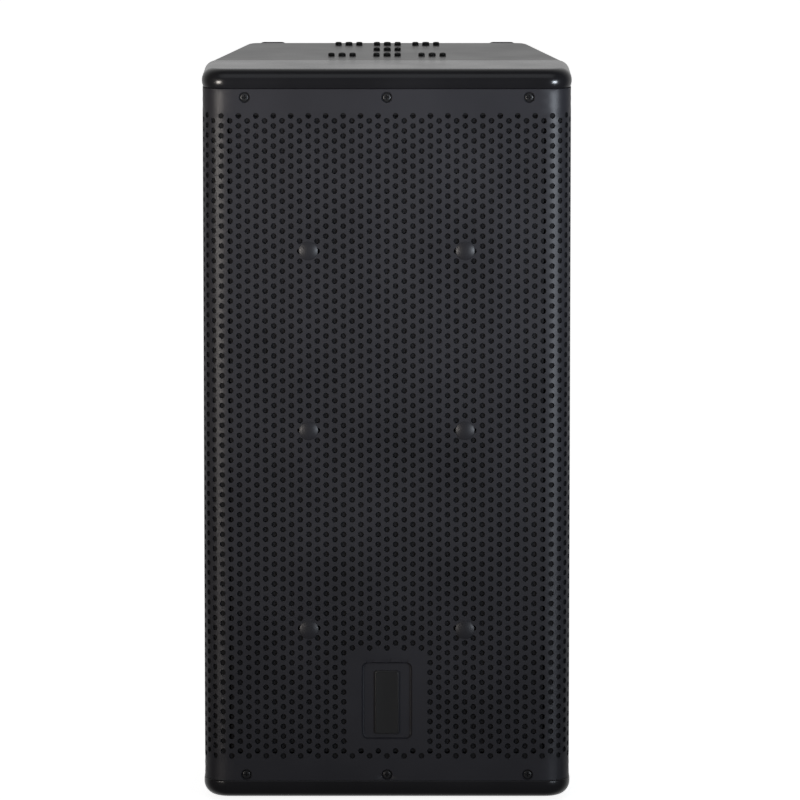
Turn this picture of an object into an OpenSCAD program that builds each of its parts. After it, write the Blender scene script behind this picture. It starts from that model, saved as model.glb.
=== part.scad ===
// Two-way 12 inch PA speaker cabinet: moulded front frame, tapered plywood box,
// wrap-round perforated grille, woofer, horn, ports, crossover and hardware.
// Units are millimetres. +X is right, +Y is towards the back, +Z is up.
// The origin is under the middle of the feet, centred left to right and front to back.

/* [Cabinet] */
// Overall width
cabinet_w = 370; // [345:1:460]
// Height of the cabinet without its feet
cabinet_h = 738; // [715:1:900]
// Depth from the front ridge to the back panel
cabinet_d = 350; // [325:1:450]
// Depth of the straight front frame, back to the seam
frame_d = 114; // [100:1:130]
// Taper of each side behind the seam, in degrees
taper_deg = 8.25; // [0:0.25:10]
// Radius of the vertical front corners
corner_r = 26; // [20:1:34]
// Radius of the vertical rear corners
rear_corner_r = 20; // [12:1:30]
// Rounding of the top edges
top_edge_r = 12; // [8:1:14]
// Rounding of the bottom edges
bottom_edge_r = 14; // [8:1:15]
// Thickness of the plywood panels
panel_t = 15; // [12:1:18]
// Thickness of the front frame's side walls
frame_wall = 14; // [11:1:16]
// Width of the shoulder that the baffle seats on
frame_shoulder = 10; // [8:1:11]

/* [Caps and grille] */
// Height of the plain top cap above the grille
top_cap_h = 19.4; // [17:0.1:26]
// Height of the plain bottom cap under the grille
bottom_cap_h = 18; // [16:0.1:24]
// Thickness of the grille sheet
grille_t = 1.5; // [1:0.1:2]
// Step from the caps' ridge in to the grille's face
grille_inset = 0.7; // [0.4:0.1:1.5]
// Depth of the grille's side returns
grille_return = 46; // [32:1:60]
// Height of the unperforated band at the top and bottom of the grille
plain_band = 24; // [20:1:30]
// Sideways place of the outer grille screws
grille_screw_x = 142; // [120:1:150]
// Depth of the dimples that hold the grille screws
dimple_h = 3; // [2:0.5:4]
// Thickness of the acoustic foam behind the grille
foam_t = 7; // [4:0.5:8]
// Diameter of the brace rivets' heads
rivet_head_d = 19; // [14:0.5:22]
// Sideways place of the brace rivets
rivet_x = 78.5; // [60:0.5:110]
// Height of the lowest grille brace above the cabinet's underside
brace_low_z = 172.5; // [160:0.5:250]
// Height of the middle grille brace
brace_mid_z = 374.8; // [300:0.1:430]
// Height of the top grille brace
brace_top_z = 556.3; // [480:0.1:640]

/* [Badge] */
// Width of the recessed badge tray
tray_w = 50; // [40:1:60]
// Height of the recessed badge tray
tray_h = 78; // [60:1:90]
// Depth of the recessed badge tray
tray_depth = 3.5; // [2:0.5:4]
// Height of the tray's centre above the cabinet's underside
tray_z = 100; // [85:1:130]
// Width of the blank badge plate
badge_w = 24; // [16:1:32]
// Height of the blank badge plate
badge_h = 65; // [40:1:70]

/* [Drivers] */
// Depth of the baffle's front face
baffle_depth = 34; // [32:1:40]
// Thickness of the baffle
baffle_t = 18; // [15:1:21]
// Radius of the woofer's flange
woofer_r = 156; // [128:0.5:158]
// Height of the woofer's centre above the cabinet's underside
woofer_z = 203; // [203:1:212]
// Travel of the woofer's cone each way
cone_travel = 6; // [3:0.5:6]
// Width of the horn's flange
horn_w = 300; // [260:1:310]
// Height of the horn's flange
horn_h = 190; // [160:1:192]
// Height of the horn's centre above the cabinet's underside
horn_z = 590; // [586:1:600]
// Inside radius of the port tubes
port_r = 38; // [25:1:39]
// Length of the port tubes
port_len = 120; // [60:1:160]
// Sideways place of the port tubes
port_x = 100; // [60:1:110]

/* [Fly points] */
// Spacing between a fly point's middle bolt and its side screws
fly_screw_gap = 10.8; // [9:0.1:14]
// Depth of the front row of fly points
fly_front_d = 169.6; // [150:0.1:185]
// Depth of the middle fly point
fly_mid_d = 240.4; // [215:0.1:265]
// Depth of the rear row of fly points
fly_rear_d = 310; // [285:0.5:312]
// Sideways place of the outer fly points in the front row
fly_front_x = 46; // [36:1:70]
// Sideways place of the outer fly points in the rear row
fly_rear_x = 40; // [36:1:60]

/* [Back and underside] */
// Width of the recess of the input plate
input_w = 150; // [130:1:180]
// Height of the recess of the input plate
input_h = 90; // [80:1:120]
// Depth of the recess of the input plate
input_depth = 25; // [18:1:32]
// Height of the input plate's centre above the cabinet's underside
input_z = 330; // [300:1:360]
// Radius of the pole socket's bore
pole_r = 17.8; // [17.5:0.1:18.5]
// Length of the pole socket's bore
pole_len = 80; // [60:1:90]
// Depth of the pole socket's axis
pole_depth = 180; // [178:1:215]
// Height of the rubber feet
foot_h = 4; // [3:0.5:8]
// Radius of the rubber feet
foot_r = 15; // [10:0.5:18]
// Thickness of the rear bumpers
bumper_t = 10; // [6:0.5:16]
// Length of the side handles' hand cups
handle_l = 150; // [120:1:160]
// Height of the side handles' hand cups
handle_h = 84; // [70:1:90]
// Depth of the side handles' hand cups
handle_depth = 42; // [34:1:45]
// Radius of the handles' grip bars
grip_r = 9; // [7:0.5:11]
// Height of the handles' centres above the cabinet's underside
handle_z = 400; // [390:1:405]

/* [Hidden] */

// Small named clearances
seat_gap = 0.3;      // between a loose piece and its seat
screw_gap = 0.2;     // round a screw's shank
slide_gap = 0.6;     // round a piece that moves
pin_gap = 0.05;      // round a hinge pin
beyond = 1;          // how far a cut runs past a face
round_fn = 96;
corner_steps = 8;
edge_steps = 6;

// Datums: depth is counted back from the front ridge, height up from the underside
rivet_head_h = 2;
front_reach = max(0, rivet_head_h - grille_inset);
front_y = -(cabinet_d + bumper_t - front_reach) / 2;
seam_y = front_y + frame_d;
back_y = front_y + cabinet_d;
low_z = foot_h;
high_z = foot_h + cabinet_h;
half_w = cabinet_w / 2;
function at_depth(d) = front_y + d;
function at_height(h) = foot_h + h;

// Box behind the seam: its side line, outer and inner
box_half = half_w - grille_inset;
function box_side(y) = box_half - (y - seam_y) * tan(taper_deg);
function box_inner(y) = box_side(y) - panel_t / cos(taper_deg);

// Stack behind the grille's face
grille_seat = grille_inset + grille_t + seat_gap;
brace_t = 2.5;
brace_w = 22;
brace_heights = [brace_low_z, brace_mid_z, brace_top_z];
foam_front = grille_seat;
foam_back = foam_front + foam_t;
brace_front_d = foam_back + seat_gap;

// Openings in the front frame
frame_inner = half_w - grille_inset - frame_wall;
mouth_half = frame_inner - frame_shoulder;
mouth_low = at_height(bottom_cap_h + plain_band + 4);
mouth_high = high_z - top_cap_h - plain_band - 2.6;
baffle_low = at_height(bottom_cap_h);
baffle_high = high_z - bottom_cap_h;

// Grille screws sit in the plain bands
screw_top_z = high_z - 27.8;
screw_bottom_z = at_height(24.1);
grille_screw_spots = [for (z = [screw_bottom_z, screw_top_z], x = [-1, 0, 1]) [x * grille_screw_x, z]];
dimple_r = 5.8;

port_wall = 4;
port_z = (woofer_z + woofer_r + horn_z - horn_h / 2) / 2;

rivet_spots = [for (h = brace_heights, s = [-1, 1]) [s * rivet_x, at_height(h)]];

// ---------- outlines and solids that follow a rule ----------

// Points on an arc round c, from angle a to angle b
function arc(c, r, a, b, n = corner_steps) =
    [for (i = [0:n]) let (t = a + (b - a) * i / n) [c[0] + r * cos(t), c[1] + r * sin(t)]];

// Plan outline of the front frame, moved in by s, its back corners at depth y
function frame_outline(s, y = seam_y) =
    let (c = half_w - corner_r, cy = front_y + corner_r, r = corner_r - s)
    concat([[half_w - s, y], [-(half_w - s), y]],
        arc([-c, cy], r, 180, 270), arc([c, cy], r, 270, 360));

// Plan outline of the tapered box behind the seam, moved in by s
function box_outline(s) =
    let (cy = back_y - rear_corner_r,
         cx = box_side(cy) - rear_corner_r / cos(taper_deg),
         r = rear_corner_r - s,
         x = box_half - s / cos(taper_deg))
    concat([[x, seam_y]], arc([cx, cy], r, taper_deg, 90),
        arc([-cx, cy], r, 90, 180 - taper_deg), [[-x, seam_y]]);

// Height and inset pairs that round the bottom and top edges
bottom_rounding = [for (i = [0:edge_steps]) let (a = 90 * i / edge_steps)
    [low_z + bottom_edge_r * (1 - cos(a)), bottom_edge_r * (1 - sin(a))]];
top_rounding = [for (i = [edge_steps:-1:0]) let (a = 90 * i / edge_steps)
    [high_z - top_edge_r * (1 - cos(a)), top_edge_r * (1 - sin(a))]];

// Solid through a stack of outlines, each [height, points]
module lofted(rings) {
    n = len(rings[0][1]);
    m = len(rings);
    polyhedron(
        points = [for (k = rings, p = k[1]) [p[0], p[1], k[0]]],
        faces = concat(
            [[for (j = [0:n - 1]) j]],
            [for (i = [0:m - 2], j = [0:n - 1])
                [i * n + j, (i + 1) * n + j, (i + 1) * n + (j + 1) % n, i * n + (j + 1) % n]],
            [[for (j = [n - 1:-1:0]) (m - 1) * n + j]]),
        convexity = 6);
}

// Rectangle with rounded corners, centred
module rounded_rect(w, h, r) {
    polygon(concat(
        arc([w / 2 - r, h / 2 - r], r, 0, 90, 6), arc([r - w / 2, h / 2 - r], r, 90, 180, 6),
        arc([r - w / 2, r - h / 2], r, 180, 270, 6), arc([w / 2 - r, r - h / 2], r, 270, 360, 6)));
}

// Children's +Z points to the back, from a point on the front's face plane
module facing_back(x, d, z) {
    translate([x, at_depth(d), z]) rotate([-90, 0, 0]) children();
}

// Slab given by its corners
module slab(lo, hi) {
    translate(lo) cube([hi[0] - lo[0], hi[1] - lo[1], hi[2] - lo[2]]);
}

// Pan-head screw: head under z = 0, shank along +Z, hexagon socket in the head
module screw(head_r, head_h, shank_r, length) {
    difference() {
        union() {
            translate([0, 0, -head_h]) cylinder(r = head_r, h = head_h, $fn = 32);
            cylinder(r = shank_r, h = length, $fn = 24);
        }
        translate([0, 0, -head_h - beyond])
            cylinder(r = head_r * 0.45, h = head_h * 0.6 + beyond, $fn = 6);
    }
}

// Smooth curve through chosen points, with n steps between each pair
function spline(p, n = 5) =
    let (q = concat([2 * p[0] - p[1]], p, [2 * p[len(p) - 1] - p[len(p) - 2]]))
    concat([for (i = [1:len(q) - 3], k = [0:n - 1]) let (t = k / n)
        0.5 * (2 * q[i] + (q[i + 1] - q[i - 1]) * t
            + (2 * q[i - 1] - 5 * q[i] + 4 * q[i + 1] - q[i + 2]) * t * t
            + (3 * q[i] - q[i - 1] - 3 * q[i + 1] + q[i + 2]) * t * t * t)],
        [p[len(p) - 1]]);

function unit(v) = v / norm(v);

// Insulated wire swept along a curve, eight-sided
module wire(points, r) {
    path = spline(points);
    last = len(path) - 1;
    sides = 8;
    up = [0.31, 0.17, 0.94];
    rings = [for (i = [0:last])
        let (t = unit(path[min(i + 1, last)] - path[max(i - 1, 0)]),
             u = unit(cross(up, t)), v = cross(t, u))
        [for (k = [0:sides - 1]) path[i] + r * (cos(k * 45) * u + sin(k * 45) * v)]];
    polyhedron(
        points = [for (ring = rings, p = ring) p],
        faces = concat(
            [[for (j = [0:sides - 1]) j]],
            [for (i = [0:last - 1], j = [0:sides - 1])
                [i * sides + j, (i + 1) * sides + j,
                 (i + 1) * sides + (j + 1) % sides, i * sides + (j + 1) % sides]],
            [[for (j = [sides - 1:-1:0]) last * sides + j]]),
        convexity = 10);
}

// ---------- front frame and plywood box ----------

baffle_screw_spots = let (x = mouth_half + frame_shoulder / 2,
    low = (baffle_low + mouth_low) / 2, high = (baffle_high + mouth_high) / 2)
    concat([for (s = [-1, 1], f = [0.1, 0.37, 0.63, 0.9]) [s * x, low + (high - low) * f]],
        [for (s = [-1, 0, 1]) [s * x * 0.6, low]], [for (s = [-1, 0, 1]) [s * x * 0.6, high]]);
baffle_screw_r = 2.2;
baffle_screw_bite = 13;

foot_spots = [for (s = [-1, 1], p = [[half_w - 55, 60], [half_w - 75, cabinet_d - 45]])
    [s * p[0], at_depth(p[1])]];
foot_screw_r = 2.2;
foot_screw_len = 13;

// Structural foam moulding: both caps, the grille's seat and the baffle's shoulder
module front_frame() {
    step_h = 0.3;
    bevel_in = 1.6;
    rings = concat(
        [for (p = bottom_rounding) [p[0], frame_outline(p[1])]],
        [[low_z + bottom_cap_h - 1, frame_outline(0)],
         [low_z + bottom_cap_h, frame_outline(grille_inset)],
         [high_z - top_cap_h - step_h, frame_outline(grille_inset)],
         [high_z - top_cap_h, frame_outline(bevel_in)],
         [high_z - top_edge_r - 1, frame_outline(0)]],
        [for (p = top_rounding) [p[0], frame_outline(p[1])]]);
    color([0.08, 0.08, 0.09]) difference() {
        lofted(rings);
        translate([0, 0, low_z + bottom_cap_h])
            linear_extrude(cabinet_h - bottom_cap_h - top_cap_h - step_h / 2) difference() {
                translate([-half_w - 5, front_y - 5])
                    square([2 * half_w + 10, grille_return + 5 + 2 * seat_gap]);
                polygon(frame_outline(grille_seat, seam_y));
            }
        slab([-mouth_half, front_y - beyond, mouth_low], [mouth_half, seam_y, mouth_high]);
        slab([-frame_inner, at_depth(baffle_depth), baffle_low],
            [frame_inner, seam_y + beyond, baffle_high]);
        for (p = grille_screw_spots) facing_back(p[0], 0, p[1]) {
            cylinder(r = dimple_r + seat_gap, h = grille_inset + dimple_h + grille_t + seat_gap,
                $fn = round_fn);
            cylinder(r = grille_screw_r + screw_gap, h = grille_screw_len + 5, $fn = 32);
        }
        for (p = baffle_screw_spots)
            facing_back(p[0], baffle_depth - baffle_screw_bite - beyond, p[1])
                cylinder(r = baffle_screw_r + screw_gap, h = baffle_screw_bite + 2 * beyond, $fn = 32);
        for (p = foot_spots) if (p[1] < seam_y)
            translate([p[0], p[1], 0])
                cylinder(r = foot_screw_r + screw_gap, h = foot_h + foot_screw_len, $fn = 32);
    }
}

// Whole outer shape of the box behind the seam
module box_envelope() {
    lofted(concat([for (p = bottom_rounding) [p[0], box_outline(p[1])]],
        [for (p = top_rounding) [p[0], box_outline(p[1])]]));
}

module top_panel() {
    color([0.09, 0.09, 0.09]) difference() {
        intersection() {
            box_envelope();
            slab([-half_w, seam_y, high_z - panel_t], [half_w, back_y, high_z + beyond]);
        }
        for (p = fly_spots) translate([p[0], p[1], high_z - panel_t - beyond]) {
            cylinder(r = fly_bolt_r + screw_gap, h = panel_t + 2 * beyond, $fn = 32);
            for (s = [-1, 1]) translate([s * fly_screw_gap, 0, 0])
                cylinder(r = fly_screw_r + screw_gap, h = panel_t + 2 * beyond, $fn = 32);
        }
    }
}

module bottom_panel() {
    color([0.09, 0.09, 0.09]) difference() {
        intersection() {
            box_envelope();
            slab([-half_w, seam_y, low_z - beyond], [half_w, back_y, low_z + panel_t]);
        }
        translate([0, at_depth(pole_depth), 0]) {
            cylinder(r = pole_r + pole_wall + screw_gap * 2, h = foot_h + panel_t + beyond,
                $fn = round_fn);
            for (a = pole_screw_angles) rotate(a) translate([pole_screw_ring, 0, 0])
                cylinder(r = pole_screw_r + screw_gap, h = foot_h + panel_t + beyond, $fn = 32);
        }
        for (p = foot_spots) if (p[1] > seam_y)
            translate([p[0], p[1], 0])
                cylinder(r = foot_screw_r + screw_gap, h = foot_h + foot_screw_len + 1, $fn = 32);
    }
}

// Right-hand side; the left is its mirror image
module side_panel() {
    color([0.09, 0.09, 0.09]) difference() {
        intersection() {
            box_envelope();
            translate([0, 0, low_z + panel_t]) linear_extrude(cabinet_h - 2 * panel_t)
                polygon([[box_inner(seam_y), seam_y], [half_w + 5, seam_y],
                    [half_w + 5, back_y + 5], [box_inner(back_y + 5), back_y + 5]]);
        }
        on_side() {
            translate([0, 0, -panel_t - beyond]) linear_extrude(panel_t + 2 * beyond)
                rounded_rect(handle_l + 2 * cup_wall + 1, handle_h + 2 * cup_wall + 1, handle_corner + 3);
            for (p = handle_screw_spots) translate([p[0], p[1], -panel_t + 1])
                cylinder(r = panel_screw_r + screw_gap, h = panel_t + beyond, $fn = 32);
        }
    }
}

module side_panel_right() {
    side_panel();
}

module side_panel_left() {
    mirror([1, 0, 0]) side_panel();
}

module back_panel() {
    front = back_y - panel_t;
    color([0.09, 0.09, 0.09]) difference() {
        intersection() {
            box_envelope();
            translate([0, 0, low_z + panel_t]) linear_extrude(cabinet_h - 2 * panel_t)
                polygon([[-box_inner(front), front], [box_inner(front), front],
                    [box_inner(back_y + 5), back_y + 5], [-box_inner(back_y + 5), back_y + 5]]);
        }
        facing_back(0, cabinet_d, at_height(input_z)) {
            translate([0, 0, -panel_t - beyond]) linear_extrude(panel_t + 2 * beyond)
                rounded_rect(input_w + 2 * cup_wall + 1, input_h + 2 * cup_wall + 1, input_corner + 3);
            for (p = input_screw_spots) translate([p[0], p[1], -panel_t + 1])
                cylinder(r = panel_screw_r + screw_gap, h = panel_t + beyond, $fn = 32);
        }
        for (p = bumper_spots) facing_back(p[0], cabinet_d - panel_t + 1, p[1])
            cylinder(r = panel_screw_r + screw_gap, h = panel_t, $fn = 32);
    }
}

// Plywood baffle, screwed forward into the frame's shoulder
module baffle() {
    color([0.12, 0.11, 0.1]) difference() {
        slab([-frame_inner + seat_gap, at_depth(baffle_depth), baffle_low + seat_gap],
            [frame_inner - seat_gap, at_depth(baffle_depth + baffle_t), baffle_high - seat_gap]);
        facing_back(0, baffle_depth - beyond, at_height(woofer_z)) {
            cylinder(r = basket_r + seat_gap, h = baffle_t + 2 * beyond, $fn = round_fn);
            for (a = woofer_screw_angles) rotate(a) translate([woofer_screw_ring, 0, 0])
                cylinder(r = driver_screw_r + screw_gap, h = baffle_t + 2 * beyond, $fn = 32);
        }
        facing_back(0, baffle_depth - beyond, at_height(horn_z)) {
            linear_extrude(baffle_t + 2 * beyond)
                square([horn_w - 2 * horn_rim + 1, horn_h - 2 * horn_rim + 1], center = true);
            for (p = horn_screw_spots) translate([p[0], p[1], 0])
                cylinder(r = driver_screw_r + screw_gap, h = baffle_t + 2 * beyond, $fn = 32);
        }
        for (s = [-1, 1]) facing_back(s * port_x, baffle_depth - beyond, at_height(port_z))
            cylinder(r = port_r + port_wall + seat_gap, h = baffle_t + 2 * beyond, $fn = round_fn);
        for (p = baffle_screw_spots) facing_back(p[0], baffle_depth - beyond, p[1])
            cylinder(r = baffle_screw_r + screw_gap, h = baffle_t + 2 * beyond, $fn = 32);
    }
}

module baffle_screws() {
    color("dimgray") for (p = baffle_screw_spots)
        translate([p[0], at_depth(baffle_depth + baffle_t), p[1]]) rotate([90, 0, 0])
            screw(4.2, 2.4, baffle_screw_r, baffle_t + baffle_screw_bite);
}

// Plywood window brace that ties the sides and the back together
brace_front = seam_y + 12;
brace_back = back_y - panel_t - seat_gap;
brace_z = (horn_z + port_z) / 2 - 26;
module centre_brace() {
    window_w = 200;
    window_d = brace_back - brace_front - 80;
    color("burlywood") difference() {
        translate([0, 0, at_height(brace_z)]) linear_extrude(12)
            polygon([for (p = [[-1, brace_front], [1, brace_front], [1, brace_back], [-1, brace_back]])
                [p[0] * (box_inner(p[1]) - seat_gap), p[1]]]);
        translate([0, (brace_front + brace_back) / 2, at_height(brace_z) - beyond])
            linear_extrude(12 + 2 * beyond) rounded_rect(window_w, window_d, 20);
    }
}

// ---------- grille, its foam and its fixings ----------

grille_screw_r = 2.2;
grille_screw_len = 18;
rivet_shank_r = 2.9;
grille_low = low_z + bottom_cap_h + seat_gap;
grille_high = high_z - top_cap_h - seat_gap;
pan_wall = 1.2;

// Folded steel sheet, its dimples and badge tray pressed in
module grille() {
    color([0.16, 0.16, 0.17]) difference() {
        union() {
            translate([0, 0, grille_low]) linear_extrude(grille_high - grille_low) difference() {
                polygon(frame_outline(grille_inset, at_depth(grille_return)));
                polygon(frame_outline(grille_inset + grille_t, at_depth(grille_return) + beyond));
            }
            for (p = grille_screw_spots) facing_back(p[0], grille_inset + grille_t / 2, p[1])
                cylinder(r = dimple_r, h = dimple_h + grille_t / 2, $fn = round_fn);
            facing_back(0, grille_inset + grille_t / 2, at_height(tray_z))
                linear_extrude(tray_depth + grille_t / 2) rounded_rect(tray_w + 2 * pan_wall,
                    tray_h + 2 * pan_wall, 6 + pan_wall);
        }
        for (p = grille_screw_spots) facing_back(p[0], -beyond, p[1]) {
            cylinder(r = dimple_r - pan_wall, h = beyond + grille_inset + dimple_h, $fn = round_fn);
            cylinder(r = grille_screw_r + screw_gap, h = beyond + dimple_h + 3 * grille_t, $fn = 32);
        }
        facing_back(0, -beyond, at_height(tray_z))
            linear_extrude(beyond + grille_inset + tray_depth) rounded_rect(tray_w, tray_h, 6);
        for (p = rivet_spots) facing_back(p[0], -beyond, p[1])
            cylinder(r = rivet_shank_r + screw_gap, h = beyond + 3 * grille_t, $fn = 32);
    }
}

module grille_foam() {
    color([0.1, 0.1, 0.1]) difference() {
        slab([-mouth_half + 0.4, at_depth(foam_front), mouth_low + 0.4],
            [mouth_half - 0.4, at_depth(foam_back), mouth_high - 0.4]);
        for (p = rivet_spots) facing_back(p[0], foam_front - beyond, p[1])
            cylinder(r = rivet_shank_r + seat_gap, h = foam_t + 2 * beyond, $fn = 32);
        facing_back(0, foam_front - beyond, at_height(tray_z))
            linear_extrude(beyond + grille_inset + tray_depth + pan_wall + seat_gap - foam_front)
                rounded_rect(tray_w + 2 * pan_wall + 1, tray_h + 2 * pan_wall + 1, 8);
    }
}

module grille_braces() {
    reach = mouth_half - 1;
    color([0.13, 0.13, 0.14]) for (h = brace_heights) difference() {
        slab([-reach, at_depth(brace_front_d), at_height(h) - brace_w / 2],
            [reach, at_depth(brace_front_d + brace_t), at_height(h) + brace_w / 2]);
        for (s = [-1, 1]) facing_back(s * rivet_x, brace_front_d - beyond, at_height(h))
            cylinder(r = rivet_shank_r + screw_gap, h = brace_t + 2 * beyond, $fn = 32);
    }
}

// Domed head outside, closed tail behind the brace
module grille_rivets() {
    head_r = rivet_head_d / 2;
    dome_r = (head_r * head_r + rivet_head_h * rivet_head_h) / (2 * rivet_head_h);
    color([0.12, 0.12, 0.13]) for (p = rivet_spots) facing_back(p[0], grille_inset, p[1]) {
        intersection() {
            translate([0, 0, dome_r - rivet_head_h]) sphere(r = dome_r, $fn = round_fn);
            translate([0, 0, -rivet_head_h - beyond])
                cylinder(r = head_r + beyond, h = rivet_head_h + beyond, $fn = round_fn);
        }
        cylinder(r = rivet_shank_r, h = brace_front_d - grille_inset + brace_t, $fn = 32);
        translate([0, 0, brace_front_d - grille_inset + brace_t]) cylinder(r = 5, h = 1.5, $fn = 32);
    }
}

module grille_screws() {
    color([0.1, 0.1, 0.1]) for (p = grille_screw_spots)
        facing_back(p[0], grille_inset + dimple_h, p[1])
            screw(4, 2.2, grille_screw_r, grille_screw_len);
}

module badge_plate() {
    plate_t = 2.4;
    color([0.2, 0.2, 0.21])
        facing_back(0, grille_inset + tray_depth - plate_t, at_height(tray_z - 2))
            linear_extrude(plate_t) rounded_rect(badge_w, badge_h, 2.5);
}

// ---------- woofer, all turned about one axis ----------

basket_r = woofer_r - 15;
basket_depth = 68;
basket_wall = 3.5;
motor_r = 80;
woofer_screw_ring = woofer_r - 6.5;
woofer_screw_angles = [for (i = [0:7]) 22.5 + 45 * i];
driver_screw_r = 2.4;
flange_t = 6;
roll_r = 9;
roll_ring = woofer_r - 29;
roll_inner = roll_ring - roll_r - 6;
roll_outer = roll_ring + roll_r + 7;
cone_r = roll_ring - 11;
cone_t = 1.2;
coil_r = 25.8;
spider_depth = 60;
plate_front = basket_depth + 6;
magnet_t = 26;
plate_t = 8;
skin = 0.9;

module woofer_axis() {
    facing_back(0, baffle_depth, at_height(woofer_z)) children();
}

// Solid of revolution from a list of [radius, depth behind the baffle's face]
module turned(points) {
    rotate_extrude($fn = round_fn) polygon(points);
}

module woofer_frame() {
    windows = 6;
    color([0.15, 0.15, 0.16]) woofer_axis() difference() {
        union() {
            turned([[roll_ring + roll_r + 0.5, -flange_t], [woofer_r, -flange_t], [woofer_r, 0],
                [basket_r, 0], [motor_r, basket_depth], [motor_r, basket_depth + flange_t],
                [45, basket_depth + flange_t], [45, basket_depth],
                [motor_r - basket_wall, basket_depth],
                [basket_r - basket_wall, -0.5], [roll_ring + roll_r + 0.5, -0.5]]);
        }
        for (i = [0:windows - 1]) rotate(30 + i * 360 / windows)
            translate([motor_r + 6, -20, 14]) cube([80, 40, 40]);
        for (a = woofer_screw_angles) rotate(a) translate([woofer_screw_ring, 0, -flange_t - beyond])
            cylinder(r = driver_screw_r + screw_gap, h = flange_t + 2 * beyond, $fn = 32);
    }
}

module woofer_gasket() {
    gasket_t = 3.3;
    front = -flange_t - skin - 0.3 - gasket_t;
    color([0.05, 0.05, 0.05]) woofer_axis()
        turned([[roll_outer - 6, front], [roll_outer + 0.5, front],
            [roll_outer + 0.5, front + gasket_t], [roll_outer - 6, front + gasket_t]]);
}

module woofer_screws() {
    color("dimgray") woofer_axis() for (a = woofer_screw_angles)
        rotate(a) translate([woofer_screw_ring, 0, -flange_t])
            screw(4.2, 2.6, driver_screw_r, flange_t + baffle_t + 4);
}

// Half-roll rubber surround, glued to the cone's edge and to the flange
module surround() {
    lip = -flange_t - 0.1;
    roll = arc([roll_ring, lip], roll_r, 180, 360, 12);
    inner = arc([roll_ring, lip], roll_r - skin, 360, 180, 12);
    color([0.06, 0.06, 0.06]) woofer_axis()
        turned(concat([[roll_inner, lip - skin], [roll_ring - roll_r, lip - skin]],
            [for (i = [1:11]) roll[i]],
            [[roll_ring + roll_r, lip - skin], [roll_outer, lip - skin], [roll_outer, lip],
                [roll_ring + roll_r - skin, lip]],
            [for (i = [1:11]) inner[i]],
            [[roll_ring - roll_r + skin, lip], [roll_inner, lip]]));
}

cone_edge = -flange_t + 0.2;
cone_neck = 48;
module cone() {
    color([0.1, 0.1, 0.11]) woofer_axis()
        turned([[coil_r + 0.5, cone_neck], [cone_r, cone_edge], [cone_r + 1.5, cone_edge],
            [cone_r + 1.5, cone_edge + cone_t], [coil_r + 0.5, cone_neck + cone_t * 1.4]]);
}

module dust_cap() {
    cap_r = 44;
    rise = 14;
    ball = (cap_r * cap_r + rise * rise) / (2 * rise);
    slope = (cone_neck - cone_edge) / (cone_r - coil_r - 0.5);
    edge = cone_edge + slope * (cone_r - cap_r) - 3 * seat_gap;
    tilt = asin(cap_r / ball);
    outer = arc([0, edge - rise + ball], ball, 270, 270 + tilt, 10);
    inner = arc([0, edge - rise + ball], ball - 1, 270 + tilt, 270, 10);
    color([0.09, 0.09, 0.09]) woofer_axis() turned(concat(outer, inner));
}

module voice_coil() {
    winding_end = plate_front + plate_t + 2 * cone_travel + 4;
    color([0.7, 0.45, 0.25]) woofer_axis() turned([[coil_r, cone_neck - 3], [coil_r + 0.4, cone_neck - 3],
        [coil_r + 0.4, plate_front + 8], [coil_r + 1.3, plate_front + 8],
        [coil_r + 1.3, winding_end], [coil_r, winding_end]]);
}

// Corrugated cloth disc that centres the coil
module spider() {
    waves = 5;
    inner_r = coil_r + 0.5 + seat_gap;
    outer_r = 72;
    step = (outer_r - inner_r) / (2 * waves);
    crest = [for (i = [0:2 * waves]) [inner_r + i * step, spider_depth + (i % 2) * 3]];
    color([0.75, 0.6, 0.35]) woofer_axis()
        turned(concat(crest, [for (i = [2 * waves:-1:0]) [crest[i][0], crest[i][1] + skin]]));
}

module woofer_top_plate() {
    color("silver") woofer_axis() turned([[coil_r + 1.9, plate_front], [72, plate_front],
        [72, plate_front + plate_t], [coil_r + 1.9, plate_front + plate_t]]);
}

module woofer_magnet() {
    color([0.2, 0.2, 0.22]) woofer_axis() turned([[42, plate_front + plate_t],
        [motor_r + 2, plate_front + plate_t], [motor_r + 2, plate_front + plate_t + magnet_t],
        [42, plate_front + plate_t + magnet_t]]);
}

// Back plate and vented pole piece, one steel turning
module woofer_back_plate() {
    rear = plate_front + plate_t + magnet_t;
    color("silver") woofer_axis() turned([[10, plate_front + 1], [coil_r - slide_gap, plate_front + 1],
        [coil_r - slide_gap, rear], [motor_r - 4, rear], [motor_r - 4, rear + plate_t],
        [10, rear + plate_t]]);
}

// ---------- horn, compression driver and ports ----------

horn_rim = 18;
horn_flange_t = 6;
horn_depth = 90;
throat_r = 12.7;
horn_screw_spots = [for (s = [-1, 1], p = [[horn_w / 2 - 9, horn_h / 2 - 12], [horn_w / 2 - 9, 0],
    [horn_w / 2 - 9, 12 - horn_h / 2]]) [s * p[0], p[1]]];
hf_depth = baffle_depth + horn_depth + 6;
hf_r = 50;

module horn_shape(grow, from, to) {
    hull() {
        translate([0, 0, from]) linear_extrude(0.1)
            square([horn_w - 2 * horn_rim + 2 * grow - 6, horn_h - 2 * horn_rim + 2 * grow - 6], center = true);
        translate([0, 0, to - 0.1]) cylinder(r = throat_r + grow, h = 0.1, $fn = 32);
    }
}

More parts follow.
